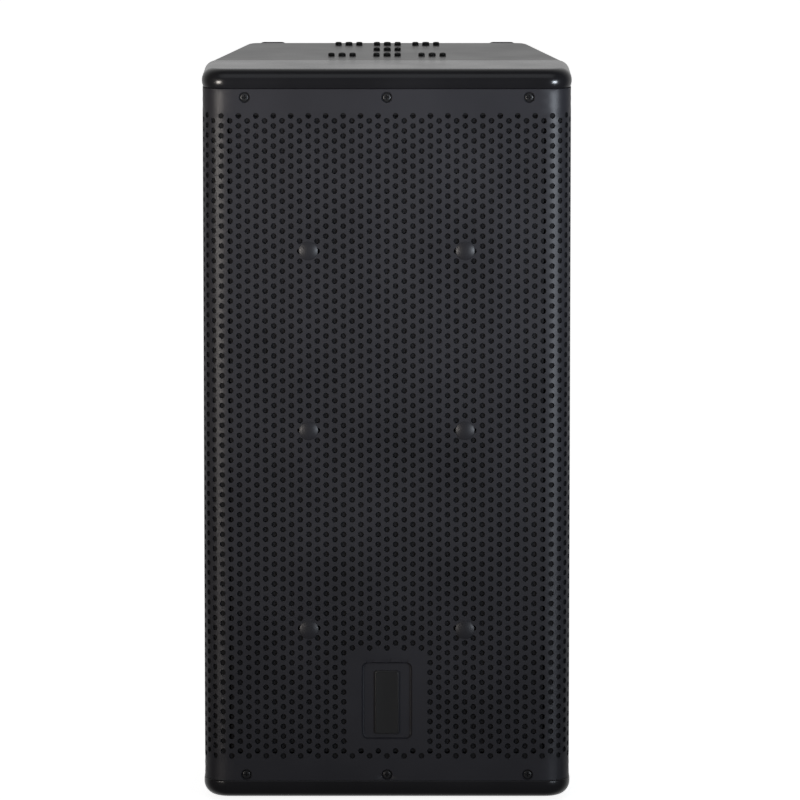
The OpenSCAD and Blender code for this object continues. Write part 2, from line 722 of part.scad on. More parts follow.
module horn() {
    color([0.07, 0.07, 0.08]) facing_back(0, baffle_depth, at_height(horn_z)) difference() {
        union() {
            translate([0, 0, -horn_flange_t]) linear_extrude(horn_flange_t)
                rounded_rect(horn_w, horn_h, 10);
            horn_shape(3, -1, horn_depth);
            translate([0, 0, horn_depth - 1]) cylinder(r = 38, h = 7, $fn = round_fn);
        }
        horn_shape(0, -horn_flange_t - 0.2, horn_depth + 0.1);
        translate([0, 0, horn_depth - 2]) cylinder(r = throat_r, h = 10, $fn = round_fn);
        for (p = horn_screw_spots) translate([p[0], p[1], -horn_flange_t - beyond])
            cylinder(r = driver_screw_r + screw_gap, h = horn_flange_t + 2 * beyond, $fn = 32);
    }
}

module horn_screws() {
    color("dimgray") facing_back(0, baffle_depth - horn_flange_t, at_height(horn_z))
        for (p = horn_screw_spots) translate([p[0], p[1], 0])
            screw(4.2, 2.6, driver_screw_r, horn_flange_t + baffle_t + 4);
}

module hf_axis() {
    facing_back(0, hf_depth, at_height(horn_z)) children();
}

hf_plate_t = 8;
hf_magnet_t = 18;
hf_coil_r = 22;

module hf_front_plate() {
    color("silver") hf_axis() turned([[throat_r, 0], [hf_r, 0], [hf_r, hf_plate_t], [throat_r, hf_plate_t]]);
}

module hf_magnet() {
    color([0.2, 0.2, 0.22]) hf_axis() turned([[28, hf_plate_t], [hf_r, hf_plate_t],
        [hf_r, hf_plate_t + hf_magnet_t], [28, hf_plate_t + hf_magnet_t]]);
}

// Rear pole plate with the phase plug's throat through its middle
module hf_back_plate() {
    face = hf_plate_t + hf_magnet_t;
    color("silver") hf_axis() {
        turned([[throat_r, hf_plate_t], [hf_coil_r - slide_gap, hf_plate_t],
            [hf_coil_r - slide_gap, face + 6], [throat_r + 4, face + 6]]);
        turned([[hf_coil_r + 1.2, face], [46, face], [46, face + 6], [hf_coil_r + 1.2, face + 6]]);
    }
}

// Titanium dome with its coil former
module hf_diaphragm() {
    face = hf_plate_t + hf_magnet_t + 6;
    dome_r = 30;
    base = face + 1.5;
    drop = sqrt(dome_r * dome_r - hf_coil_r * hf_coil_r);
    tilt = asin(hf_coil_r / dome_r);
    outer = arc([0, base - drop], dome_r, 90, 90 - tilt, 8);
    inner = arc([0, base - drop], dome_r - 0.5, 90 - tilt, 90, 8);
    color([0.6, 0.6, 0.63]) hf_axis() {
        turned(concat(inner, outer));
        turned([[hf_coil_r - 0.2, face - 5], [hf_coil_r + 0.3, face - 5],
            [hf_coil_r + 0.3, base + 0.6], [hf_coil_r - 0.2, base + 0.6]]);
    }
}

module hf_rear_cap() {
    face = hf_plate_t + hf_magnet_t + 6;
    color([0.1, 0.1, 0.1]) hf_axis() turned([[43, face], [46, face], [46, face + 20], [40, face + 24],
        [0, face + 24], [0, face + 21], [39, face + 21], [43, face + 18]]);
}

// Two straight tubes with a flange on the baffle's face
module port_tubes() {
    outer = port_r + port_wall;
    color([0.07, 0.07, 0.08]) for (s = [-1, 1]) facing_back(s * port_x, baffle_depth, at_height(port_z))
        turned([[port_r, -3], [outer + 6, -3], [outer + 6, 0], [outer, 0],
            [outer, port_len], [port_r, port_len]]);
}

// ---------- crossover, wadding and leads ----------

board_w = 160;
board_h = 110;
board_t = 1.6;
board_z = 115;
standoff_h = 12;
board_back = cabinet_d - panel_t - standoff_h;
board_front = board_back - board_t;
standoff_spots = [for (x = [-1, 1], z = [-1, 1]) [x * (board_w / 2 - 8), board_z + z * (board_h / 2 - 8)]];

module crossover_board() {
    color([0.1, 0.35, 0.15]) slab([-board_w / 2, at_depth(board_front), at_height(board_z - board_h / 2)],
        [board_w / 2, at_depth(board_back), at_height(board_z + board_h / 2)]);
}

module crossover_standoffs() {
    color("gainsboro") for (p = standoff_spots) facing_back(p[0], board_back, at_height(p[1]))
        cylinder(r = 4, h = standoff_h, $fn = 32);
}

module crossover_coils() {
    color([0.72, 0.42, 0.2]) for (p = [[-46, -12, 24, 20], [10, -18, 20, 16]])
        facing_back(p[0], board_front - p[3], at_height(board_z + p[1]))
            rotate_extrude($fn = round_fn) translate([9, 0]) square([p[2] - 9, p[3]]);
}

module crossover_capacitors() {
    can_r = 9;
    color([0.75, 0.7, 0.2]) for (p = [[40, -26], [40, -4]])
        translate([p[0], at_depth(board_front - can_r), at_height(board_z + p[1])]) rotate([0, 90, 0])
            cylinder(r = can_r, h = 34, $fn = 48);
    color([0.2, 0.3, 0.7]) translate([-14, at_depth(board_front - can_r), at_height(board_z + 18)])
        rotate([0, 90, 0]) cylinder(r = can_r, h = 38, $fn = 48);
}

module crossover_resistors() {
    color("ivory") for (i = [0:2])
        slab([-10 + i * 16, at_depth(board_front - 9), at_height(board_z + 34)],
            [-1 + i * 16, at_depth(board_front), at_height(board_z + 52)]);
}

module wadding_back() {
    color([0.85, 0.85, 0.8]) slab([-120, back_y - panel_t - 28, at_height(brace_z + 20)],
        [120, back_y - panel_t - seat_gap, high_z - panel_t - 20]);
}

module wadding_sides() {
    near = seam_y + 56;
    far = back_y - panel_t - 15;
    thick = 18;
    color([0.85, 0.85, 0.8]) for (s = [0, 1]) mirror([s, 0, 0])
        translate([0, 0, at_height(50)]) linear_extrude(270)
            polygon([[box_inner(near) - seat_gap, near], [box_inner(far) - seat_gap, far],
                [box_inner(far) - thick, far], [box_inner(near) - thick, near]]);
}

wire_r = 1.6;
wire_pitch = 6;
lead_route_input = [[-40, cabinet_d - 53.6, 330], [-40, cabinet_d - 64, 322], [-40, cabinet_d - 70, 290],
    [-46, cabinet_d - 66, 235], [-56, cabinet_d - 46, 180], [-56, board_front - 8, 160],
    [-56, board_front - seat_gap, 158]];
lead_route_woofer = [[-70, board_front - seat_gap, 140], [-71, board_front - 14, 141],
    [-92, 260, 160], [-108, 200, 190], [-108, 150, woofer_z], [-100, 116, woofer_z],
    [-motor_r - seat_gap, baffle_depth + basket_depth + 3, woofer_z]];
lead_route_horn = [[62, board_front - seat_gap, 160], [62, board_front - 12, 161], [84, 304, 200],
    [92, 298, 260], [92, 296, 340], [90, 286, 430], [78, 262, 490], [60, 236, 540], [34, 210, 582],
    [20, 192, horn_z], [20, hf_depth + 56.3, horn_z]];

function lead_points(route, shift) =
    [for (p = route) [p[0] + shift, at_depth(p[1]), at_height(p[2])]];

module lead_pair(route) {
    color("firebrick") wire(lead_points(route, 0), wire_r);
    color("black") wire(lead_points(route, -wire_pitch), wire_r);
}

// Three pairs: inlets to crossover, crossover to woofer, crossover to horn
module inner_leads() {
    lead_pair(lead_route_input);
    color("firebrick") wire(lead_points(lead_route_woofer, 0), wire_r);
    color("black") translate([0, 0, -wire_pitch]) wire(lead_points(lead_route_woofer, 0), wire_r);
    lead_pair(lead_route_horn);
}

// ---------- fly points ----------

fly_bolt_r = 3;
fly_screw_r = 1.9;
fly_head_h = 3.5;
fly_plate_t = 5;
fly_spots = concat([for (s = [-1, 0, 1]) [s * fly_front_x, at_depth(fly_front_d)]],
    [[0, at_depth(fly_mid_d)]],
    [for (s = [-1, 0, 1]) [s * fly_rear_x, at_depth(fly_rear_d)]]);

// Steel nut plates under the top panel
module fly_plates() {
    color("silver") for (p = fly_spots) difference() {
        translate([p[0] - fly_screw_gap - 6, p[1] - 8, high_z - panel_t - fly_plate_t])
            cube([2 * fly_screw_gap + 12, 16, fly_plate_t]);
        translate([p[0], p[1], high_z - panel_t - fly_plate_t - beyond]) {
            cylinder(r = fly_bolt_r + pin_gap, h = fly_plate_t + 2 * beyond, $fn = 32);
            for (s = [-1, 1]) translate([s * fly_screw_gap, 0, 0])
                cylinder(r = fly_screw_r + pin_gap, h = fly_plate_t + 2 * beyond, $fn = 32);
        }
    }
}

module fly_bolts() {
    color([0.1, 0.1, 0.1]) for (p = fly_spots) translate([p[0], p[1], high_z]) rotate([180, 0, 0])
        screw(3.8, fly_head_h, fly_bolt_r, panel_t + fly_plate_t + 2);
}

module fly_screws() {
    color([0.1, 0.1, 0.1]) for (p = fly_spots, s = [-1, 1])
        translate([p[0] + s * fly_screw_gap, p[1], high_z]) rotate([180, 0, 0])
            screw(3.4, fly_head_h, fly_screw_r, panel_t + fly_plate_t);
}

// ---------- back panel's fittings ----------

cup_wall = 3;
input_corner = 8;
plate_flange = 18;
plate_flange_t = 3;
panel_screw_r = 1.9;
panel_screw_len = 12;
socket_x = 42;
socket_r = 12.6;
socket_len = 17;
input_screw_spots = [for (x = [-1, 0, 1], y = [-1, 1])
    [x * (input_w / 2 + plate_flange / 2), y * (input_h / 2 + plate_flange / 2)]];
bumper_w = 32;
bumper_h = 34;
bumper_x = 120;
bumper_spots = [for (s = [-1, 1], z = [low_z + bumper_h / 2 + seat_gap, high_z - bumper_h / 2 - seat_gap])
    [s * bumper_x, z]];

module input_floor() {
    facing_back(0, cabinet_d - input_depth, at_height(input_z)) children();
}

module input_plate() {
    color([0.1, 0.1, 0.11]) facing_back(0, cabinet_d, at_height(input_z)) difference() {
        union() {
            linear_extrude(plate_flange_t)
                rounded_rect(input_w + 2 * plate_flange, input_h + 2 * plate_flange, input_corner + 4);
            translate([0, 0, -input_depth - cup_wall]) linear_extrude(input_depth + cup_wall + 1)
                rounded_rect(input_w + 2 * cup_wall, input_h + 2 * cup_wall, input_corner + cup_wall);
        }
        translate([0, 0, -input_depth]) linear_extrude(input_depth + 2 * plate_flange_t)
            rounded_rect(input_w, input_h, input_corner);
        for (s = [-1, 1]) translate([s * socket_x, 0, -input_depth - cup_wall - beyond])
            cylinder(r = socket_r + 2.2, h = cup_wall + 2 * beyond, $fn = round_fn);
        translate([-7, -11, -input_depth - cup_wall - beyond]) cube([14, 22, cup_wall + 2 * beyond]);
        for (p = input_screw_spots) translate([p[0], p[1], -beyond])
            cylinder(r = panel_screw_r + screw_gap, h = plate_flange_t + 2 * beyond, $fn = 32);
    }
}

// Generic twist-lock inlet: round cavity, keyed core and rear solder tabs
module input_socket() {
    flange = 38;
    core_r = 6;
    body_r = socket_r + 2;
    color([0.12, 0.12, 0.14]) difference() {
        union() {
            linear_extrude(3) rounded_rect(flange, flange, 4);
            translate([0, 0, -socket_len - 3]) cylinder(r = body_r, h = socket_len + 3, $fn = round_fn);
        }
        translate([0, 0, -socket_len]) cylinder(r = socket_r, h = socket_len + 5, $fn = round_fn);
    }
    color([0.12, 0.12, 0.14]) translate([0, 0, -socket_len - 1]) cylinder(r = core_r, h = socket_len, $fn = 48);
    color("gold") for (a = [0, 90, 180, 270]) rotate(a)
        translate([6, -0.4, -socket_len - 11]) cube([5, 0.8, 9]);
}

module input_socket_left() {
    input_floor() translate([-socket_x, 0, 0]) input_socket();
}

module input_socket_right() {
    input_floor() translate([socket_x, 0, 0]) input_socket();
}

switch_w = 13.6;
switch_l = 21.6;
switch_slot_w = 11;
switch_slot_l = 18;
rocker_pin_r = 1.5;
rocker_pin_depth = 2;
rocker_tilt = 10;

module switch_housing() {
    color([0.08, 0.08, 0.08]) input_floor() difference() {
        union() {
            linear_extrude(2) square([switch_w + 5, switch_l + 5], center = true);
            translate([0, 0, -18]) linear_extrude(18.5) square([switch_w, switch_l], center = true);
        }
        translate([0, 0, -12]) linear_extrude(16) square([switch_slot_w, switch_slot_l], center = true);
        translate([-switch_w, 0, -rocker_pin_depth]) rotate([0, 90, 0])
            cylinder(r = rocker_pin_r + pin_gap, h = 2 * switch_w, $fn = 48);
    }
}

// Rocker with its own pin, resting at one end of its travel
module switch_rocker() {
    w = switch_slot_w - slide_gap;
    l = switch_slot_l - 2.4;
    color([0.05, 0.05, 0.05]) input_floor() translate([0, 0, -rocker_pin_depth])
        rotate([rocker_tilt, 0, 0]) {
            translate([-w / 2, -l / 2, 1.5]) cube([w, l, 4]);
            rotate([0, 90, 0]) cylinder(r = 3, h = w, center = true, $fn = 48);
            rotate([0, 90, 0]) cylinder(r = rocker_pin_r, h = switch_w - 0.2, center = true, $fn = 48);
        }
}

// Input plate's screws and the bumpers' screws
module rear_screws() {
    color([0.2, 0.2, 0.2]) {
        for (p = input_screw_spots)
            facing_back(p[0], cabinet_d + plate_flange_t, at_height(input_z) - p[1])
                rotate([180, 0, 0]) screw(3.6, 2, panel_screw_r, panel_screw_len);
        for (p = bumper_spots) facing_back(p[0], cabinet_d + bumper_t / 2, p[1])
            rotate([180, 0, 0]) screw(3.6, 2, panel_screw_r, panel_screw_len + bumper_t / 2);
    }
}

module rear_bumpers() {
    color([0.06, 0.06, 0.06]) for (p = bumper_spots) facing_back(p[0], cabinet_d, p[1]) difference() {
        linear_extrude(bumper_t) rounded_rect(bumper_w, bumper_h, 7);
        translate([0, 0, bumper_t / 2]) cylinder(r = 4.2, h = bumper_t, $fn = 32);
        translate([0, 0, -beyond]) cylinder(r = panel_screw_r + screw_gap, h = bumper_t, $fn = 32);
    }
}

// ---------- side handles ----------

handle_corner = 14;
handle_flange = 18;
handle_flange_t = 2.5;
handle_depth_at = 245;
handle_screw_spots = [for (x = [-1, 1], y = [-1, 1])
    [x * (handle_l / 2 + handle_flange / 2 + 2), y * (handle_h / 2 - 14)]];

// Children's +Z points out of the right side, +X to the back, +Y up
module on_side() {
    y = at_depth(handle_depth_at);
    translate([box_side(y), y, at_height(handle_z)]) rotate([90, 0, 90 + taper_deg]) children();
}

// Moulded dish with a flange, let into the side panel
module handle() {
    color([0.07, 0.07, 0.08]) on_side() {
        difference() {
            union() {
                linear_extrude(handle_flange_t) rounded_rect(handle_l + 2 * handle_flange + 6,
                    handle_h + handle_flange + 8, handle_corner + 4);
                translate([0, 0, -handle_depth - cup_wall]) linear_extrude(handle_depth + cup_wall + 1)
                    rounded_rect(handle_l + 2 * cup_wall, handle_h + 2 * cup_wall, handle_corner + cup_wall);
            }
            translate([0, 0, -handle_depth]) linear_extrude(handle_depth + 2 * handle_flange_t)
                rounded_rect(handle_l, handle_h, handle_corner);
            for (p = handle_screw_spots) translate([p[0], p[1], -beyond])
                cylinder(r = panel_screw_r + screw_gap, h = handle_flange_t + 2 * beyond, $fn = 32);
        }
    }
}

// Bar held between the dish's two ends
module grip_bar() {
    color([0.05, 0.05, 0.05]) on_side() translate([-handle_l / 2, 0, -grip_r - 1]) rotate([0, 90, 0])
        cylinder(r = grip_r, h = handle_l, $fn = 64);
}

module grip_bar_right() {
    grip_bar();
}

module grip_bar_left() {
    mirror([1, 0, 0]) grip_bar();
}

module handle_right() {
    handle();
}

module handle_left() {
    mirror([1, 0, 0]) handle();
}

module handle_screws() {
    color([0.2, 0.2, 0.2]) for (m = [0, 1]) mirror([m, 0, 0]) on_side()
        for (p = handle_screw_spots) translate([p[0], p[1], handle_flange_t]) rotate([180, 0, 0])
            screw(3.6, 2, panel_screw_r, panel_screw_len);
}

// ---------- underside ----------

pole_wall = 3;
pole_flange_r = 45;
pole_flange_t = 3;
pole_screw_ring = 36;
pole_screw_angles = [45, 135, 225, 315];
pole_screw_r = 1.9;
pole_base = foot_h - pole_flange_t;

// Top-hat socket for a 35 mm stand pole
module pole_socket() {
    color([0.1, 0.1, 0.11]) translate([0, at_depth(pole_depth), pole_base]) difference() {
        union() {
            cylinder(r = pole_flange_r, h = pole_flange_t, $fn = round_fn);
            cylinder(r = pole_r + pole_wall, h = pole_len + 3, $fn = round_fn);
        }
        translate([0, 0, -beyond]) cylinder(r = pole_r, h = pole_len + beyond, $fn = round_fn);
        for (a = pole_screw_angles) rotate(a) translate([pole_screw_ring, 0, -beyond]) {
            cylinder(r = pole_screw_r + screw_gap, h = pole_flange_t + 2 * beyond, $fn = 32);
            cylinder(r = 4, h = beyond + 1.8, $fn = 32);
        }
    }
}

// Screws of the pole socket and of the feet
module underside_screws() {
    color([0.2, 0.2, 0.2]) {
        translate([0, at_depth(pole_depth), pole_base + 1.8]) for (a = pole_screw_angles)
            rotate(a) translate([pole_screw_ring, 0, 0]) screw(3.6, 1.6, pole_screw_r, panel_screw_len);
        for (p = foot_spots) translate([p[0], p[1], foot_h - 1.5])
            screw(4, 1.8, foot_screw_r, foot_screw_len);
    }
}

module feet() {
    color([0.05, 0.05, 0.05]) for (p = foot_spots) translate([p[0], p[1], 0]) difference() {
        cylinder(r = foot_r, h = foot_h, $fn = round_fn);
        translate([0, 0, -beyond]) cylinder(r = 4.4, h = foot_h - 1.5 + beyond, $fn = 32);
        translate([0, 0, -beyond]) cylinder(r = foot_screw_r + screw_gap, h = foot_h + 2 * beyond, $fn = 32);
    }
}

front_frame();
top_panel();
bottom_panel();
side_panel_left();
side_panel_right();
back_panel();
baffle();
baffle_screws();
centre_brace();
grille();
grille_foam();
grille_braces();
grille_rivets();
grille_screws();
badge_plate();
woofer_frame();
woofer_gasket();
woofer_screws();
surround();
cone();
dust_cap();
voice_coil();
spider();
woofer_top_plate();
woofer_magnet();
woofer_back_plate();
horn();
horn_screws();
hf_front_plate();
hf_magnet();
hf_back_plate();
hf_diaphragm();
hf_rear_cap();
port_tubes();
crossover_board();
crossover_standoffs();
crossover_coils();
crossover_capacitors();
crossover_resistors();
wadding_back();
wadding_sides();
inner_leads();
fly_plates();
fly_bolts();
fly_screws();
input_plate();
rear_screws();
input_socket_left();
input_socket_right();
switch_housing();
switch_rocker();
handle_left();
handle_right();
grip_bar_left();
grip_bar_right();
handle_screws();
pole_socket();
underside_screws();
feet();
rear_bumpers();
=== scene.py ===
import math

import bpy
import numpy as np
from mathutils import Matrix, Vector, geometry


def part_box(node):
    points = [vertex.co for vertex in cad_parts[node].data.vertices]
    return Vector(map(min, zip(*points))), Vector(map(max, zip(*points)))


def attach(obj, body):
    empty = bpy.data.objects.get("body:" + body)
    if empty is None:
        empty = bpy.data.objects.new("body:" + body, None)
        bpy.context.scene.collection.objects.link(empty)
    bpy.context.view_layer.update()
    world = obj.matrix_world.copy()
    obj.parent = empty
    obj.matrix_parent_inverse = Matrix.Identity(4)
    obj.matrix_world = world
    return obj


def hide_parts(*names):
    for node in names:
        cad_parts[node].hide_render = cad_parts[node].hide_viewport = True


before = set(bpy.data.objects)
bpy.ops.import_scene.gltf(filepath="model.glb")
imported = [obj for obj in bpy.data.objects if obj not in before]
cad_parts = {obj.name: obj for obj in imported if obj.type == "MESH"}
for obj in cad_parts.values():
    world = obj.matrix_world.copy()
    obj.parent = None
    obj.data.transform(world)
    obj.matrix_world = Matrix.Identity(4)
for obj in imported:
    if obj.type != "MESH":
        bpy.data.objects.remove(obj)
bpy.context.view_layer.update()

# ---------- studio ----------
# A pale lit floor, two gridded soft boxes in front, a soft light above and a white surround.


def node_on(tree, kind, inputs=(), **settings):
    """New shader node of that kind; inputs are values, or sockets to link from."""
    node = tree.nodes.new("ShaderNode" + kind)
    for key, value in settings.items():
        setattr(node, key, value)
    for key, value in dict(inputs).items():
        if isinstance(value, bpy.types.NodeSocket):
            tree.links.new(value, node.inputs[key])
        else:
            node.inputs[key].default_value = value
    return node


def ramped(tree, value, low, high, start, end, ease="SMOOTHSTEP"):
    """Value mapped from low..high to start..end, smoothly unless ease is LINEAR."""
    node = node_on(tree, "MapRange", {"Value": value, "From Min": low, "From Max": high,
                                      "To Min": start, "To Max": end}, interpolation_type=ease)
    return node.outputs["Result"]


def pale_floor(reach=30, sides=96):
    """Flat round disc, reach metres wide from its middle, a hair below z = 0."""
    turn = np.linspace(0, 2 * np.pi, sides, endpoint=False)
    rim = np.stack([reach * np.cos(turn), reach * np.sin(turn), np.full(sides, -0.0002)], 1)
    mesh = bpy.data.meshes.new("floor")
    mesh.from_pydata(rim.tolist(), [], [list(range(sides))])
    mat = bpy.data.materials.new("pale floor")
    mat.use_nodes = True
    tree = mat.node_tree
    skin = tree.nodes["Principled BSDF"]
    skin.inputs["Roughness"].default_value = 0.9
    skin.inputs["Specular IOR Level"].default_value = 0.1
    skin.inputs["Emission Color"].default_value = (1, 1, 1, 1)
    skin.inputs["Emission Strength"].default_value = 0.85
    place = node_on(tree, "TexCoord").outputs["Object"]
    cloud = node_on(tree, "TexNoise", {"Vector": place, "Scale": 1.5})
    tone = node_on(tree, "ValToRGB", {"Fac": cloud.outputs["Fac"]})
    tone.color_ramp.elements[0].color = (0.86, 0.86, 0.86, 1)
    tone.color_ramp.elements[1].color = (0.9, 0.9, 0.9, 1)
    tree.links.new(tone.outputs["Color"], skin.inputs["Base Color"])
    mesh.materials.append(mat)
    piece = bpy.data.objects.new("floor", mesh)
    bpy.context.scene.collection.objects.link(piece)
    piece.visible_glossy = piece.visible_diffuse = False


def soft_box(name, place, aim, width, height, power, colour, spread):
    """Area light at place, turned to face aim, its beam held to spread degrees."""
    lamp = bpy.data.lights.new(name, "AREA")
    lamp.shape = "RECTANGLE"
    lamp.size, lamp.size_y = width, height
    lamp.energy, lamp.color = power, colour
    lamp.spread = math.radians(spread)
    holder = bpy.data.objects.new(name, lamp)
    holder.location = place
    look = Vector(aim) - Vector(place)
    holder.rotation_euler = look.to_track_quat("-Z", "Y").to_euler()
    holder.visible_camera = False
    bpy.context.scene.collection.objects.link(holder)


def white_surround():
    """World: white to the lens; as light it is bright behind the cabinet and dim elsewhere."""
    world = bpy.data.worlds.new("surround")
    bpy.context.scene.world = world
    world.use_nodes = True
    tree = world.node_tree
    lens_side = tree.nodes["Background"]
    lens_side.inputs["Color"].default_value = (1, 1, 1, 1)
    lens_side.inputs["Strength"].default_value = 1.0
    where = node_on(tree, "TexCoord").outputs["Generated"]
    behind = node_on(tree, "SeparateXYZ", {"Vector": where}).outputs["Y"]
    strength = ramped(tree, behind, 0.0, 0.95, 0.09, 0.75)
    light_side = node_on(tree, "Background", {"Strength": strength})
    ray = node_on(tree, "LightPath").outputs["Is Camera Ray"]
    pick = node_on(tree, "MixShader", {0: ray, 1: light_side.outputs["Background"],
                                       2: lens_side.outputs["Background"]})
    tree.links.new(pick.outputs["Shader"], tree.nodes["World Output"].inputs["Surface"])


pale_floor()
white_surround()
upper_front = (0, -0.1, 0.72)
soft_box("soft_box_left", (-1.5, -1.8, 0.47), upper_front, 0.7, 0.55, 2.6, (1.0, 0.93, 0.86), 50)
soft_box("soft_box_right", (1.5, -1.8, 0.47), upper_front, 0.7, 0.55, 3.4, (0.84, 0.91, 1.0), 50)
soft_box("overhead", (0, -0.75, 1.4), (0, -0.15, 0.5), 1.4, 0.6, 0.5, (0.92, 0.96, 1.0), 120)

look_down = 7.56
lens = bpy.data.cameras.new("lens")
lens.lens = 299.1
lens.sensor_width = 36
lens.clip_end = 60
viewer = bpy.data.objects.new("viewer", lens)
viewer.location = (0.0132, -6.784, 1.2866)
viewer.rotation_euler = (math.radians(90 - look_down), 0, 0)
bpy.context.scene.collection.objects.link(viewer)
bpy.context.scene.camera = viewer
bpy.context.scene.view_settings.view_transform = "Standard"

# ---------- front frame ----------
# One structural-foam moulding: top cap, bottom cap, side rails and the seat of the grille.
# Satin black, with the faint flow marks and fine spark grain of a steel tool.

frame_low, frame_high = (np.array(c) * 1000 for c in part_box("front_frame"))
front_y, seam_y = frame_low[1], frame_high[1]
low_z, high_z = frame_low[2], frame_high[2]
half_w = frame_high[0]
back_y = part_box("back_panel")[1].y * 1000
corner_r = 26.0
bottom_round, top_round = 14, 12
grille_inset, grille_seat = 0.7, 2.5
rail_depth = 47.0
bottom_cap_h, top_cap_h = 18.0, 19.4
seat_low, seat_high = low_z + bottom_cap_h, high_z - top_cap_h
frame_mouth = half_w - corner_r - 0.6
mouth_low, mouth_high = seat_low + 28, seat_high - 26.6
side_wall, cap_wall, shoulder_depth = 14, 18, 34
hollow = half_w - grille_inset - side_wall
hollow_low, hollow_high = low_z + cap_wall, high_z - cap_wall
shoulder = front_y + shoulder_depth


def arc_points(cx, cy, radius, start, end, steps):
    """Points at equal angles, in degrees, on a circle round (cx, cy)."""
    turn = np.radians(np.linspace(start, end, steps + 1))
    return np.stack([cx + radius * np.cos(turn), cy + radius * np.sin(turn)], 1)


def round_ring(cx, cy, radius, steps):
    """Points of a closed circle, from its right side."""
    return arc_points(cx, cy, radius, 0, 360 - 360 / steps, steps - 1)


def strip_quads(rows, cols, closed=False):
    """Quads between neighbouring rows of a grid, each row wrapped round if closed."""
    index = np.arange(rows * cols).reshape(rows, cols)
    ahead = np.roll(index, -1, 1)
    if not closed:
        index, ahead = index[:, :-1], ahead[:, :-1]
    return np.stack([index[:-1], ahead[:-1], ahead[1:], index[1:]], 2).reshape(-1, 4)


def loose_mesh(name, points, faces):
    """Object from points in millimetres, alone in the scene."""
    mesh = bpy.data.meshes.new(name)
    mesh.from_pydata((np.asarray(points) / 1000).tolist(), [], [list(map(int, f)) for f in faces])
    holder = bpy.data.objects.new(name, mesh)
    bpy.context.scene.collection.objects.link(holder)
    return holder


def add_piece(name, points, faces, coat, slot, body="cabinet", stands_for=(), crease=32):
    """Piece from points in millimetres, smooth unless faces meet more sharply than crease."""
    piece = loose_mesh(name, points, faces)
    piece.data.validate()
    piece.data.shade_smooth()
    piece.data.set_sharp_from_angle(angle=math.radians(crease))
    piece.data.materials.append(coat)
    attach(piece, body)
    if stands_for:
        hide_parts(*stands_for)
    return piece


def finish(name, shade, rough, grain, relief, mottle=0.25, metal=0.0, cells=0.0, gloss=0.5,
           streak=(1, 1, 1), sheen=0.0):
    """Material: base shade varied by soft clouds, roughness varied too, and a bump that mixes
    fine noise with pebbled cells. Grain is the size of one grain in millimetres."""
    mat = bpy.data.materials.new(name)
    mat.use_nodes = True
    tree = mat.node_tree
    skin = tree.nodes["Principled BSDF"]
    skin.inputs["Metallic"].default_value = metal
    skin.inputs["Specular IOR Level"].default_value = gloss
    skin.inputs["Sheen Weight"].default_value = sheen
    spot = node_on(tree, "TexCoord").outputs["Object"]
    place = node_on(tree, "Mapping", {"Vector": spot, "Scale": streak}).outputs["Vector"]
    cloud = node_on(tree, "TexNoise", {"Vector": place, "Scale": 14, "Detail": 5}).outputs["Fac"]
    fine = node_on(tree, "TexNoise", {"Vector": place, "Scale": 1000 / grain, "Detail": 2})
    fine = fine.outputs["Fac"]
    pebble = node_on(tree, "TexVoronoi", {"Vector": place, "Scale": 600 / grain})
    soft = node_on(tree, "Math", {0: cloud, 1: 0.55}, operation="MULTIPLY").outputs["Value"]
    blend = node_on(tree, "Math", {0: fine, 1: 0.45, 2: soft}, operation="MULTIPLY_ADD")
    tone = node_on(tree, "ValToRGB", {"Fac": blend.outputs["Value"]})
    for stop, at, lift in zip(tone.color_ramp.elements, (0.3, 0.7), (1 - mottle, 1 + mottle)):
        stop.position = at
        stop.color = (*(min(1, c * lift) for c in shade), 1)
    wear = ramped(tree, cloud, 0.3, 0.7, max(0.03, rough - 0.03), min(1, rough + 0.03), "LINEAR")
    height = node_on(tree, "Math", {0: pebble.outputs["Distance"], 1: cells, 2: fine},
                     operation="MULTIPLY_ADD").outputs["Value"]
    bump = node_on(tree, "Bump", {"Strength": 1, "Distance": relief / 1000, "Height": height})
    for output, socket in ((tone.outputs["Color"], "Base Color"), (wear, "Roughness"),
                           (bump.outputs["Normal"], "Normal")):
        tree.links.new(output, skin.inputs[socket])
    return mat


def lifted(plan, height):
    """Plan outline carried to that height."""
    return np.column_stack([plan, np.full(len(plan), height)])


def rounded_edge(radius, steps=12):
    """Height and inset pairs of a quarter round, from the flat face out to the upright side."""
    turn = np.linspace(0, np.pi / 2, steps + 1)
    return [(radius * (1 - math.cos(a)), radius * (1 - math.sin(a))) for a in turn]


def frame_outline(inset, seat):
    """Plan outline, back left to back right, with the rail's step at rail_depth."""
    reach = half_w - inset
    groove = half_w - max(inset, seat)
    radius = corner_r - max(inset, seat)
    cx, cy = half_w - corner_r, front_y + corner_r
    step = front_y + rail_depth
    half = np.concatenate([
        [[frame_mouth, cy - radius]], arc_points(cx, cy, radius, -90, 0, 24),
        [[groove, step - 0.4], [groove, step - 0.05], [reach, step], [reach, seam_y - 0.6],
         [reach, seam_y]]])
    return np.concatenate([half[::-1] * [-1, 1], half])


def mirrored_caps(rows, cols):
    """Quads across the bottom and top rows of a grid whose rows mirror from left to right."""
    j, top = np.arange(cols // 2 - 1), (rows - 1) * cols
    lid = np.stack([top + j, top + j + 1, top + cols - 2 - j, top + cols - 1 - j], 1)
    base = np.stack([j + 1, j, cols - 1 - j, cols - 2 - j], 1)
    return np.stack([lid, base], 1).reshape(-1, 4).tolist()


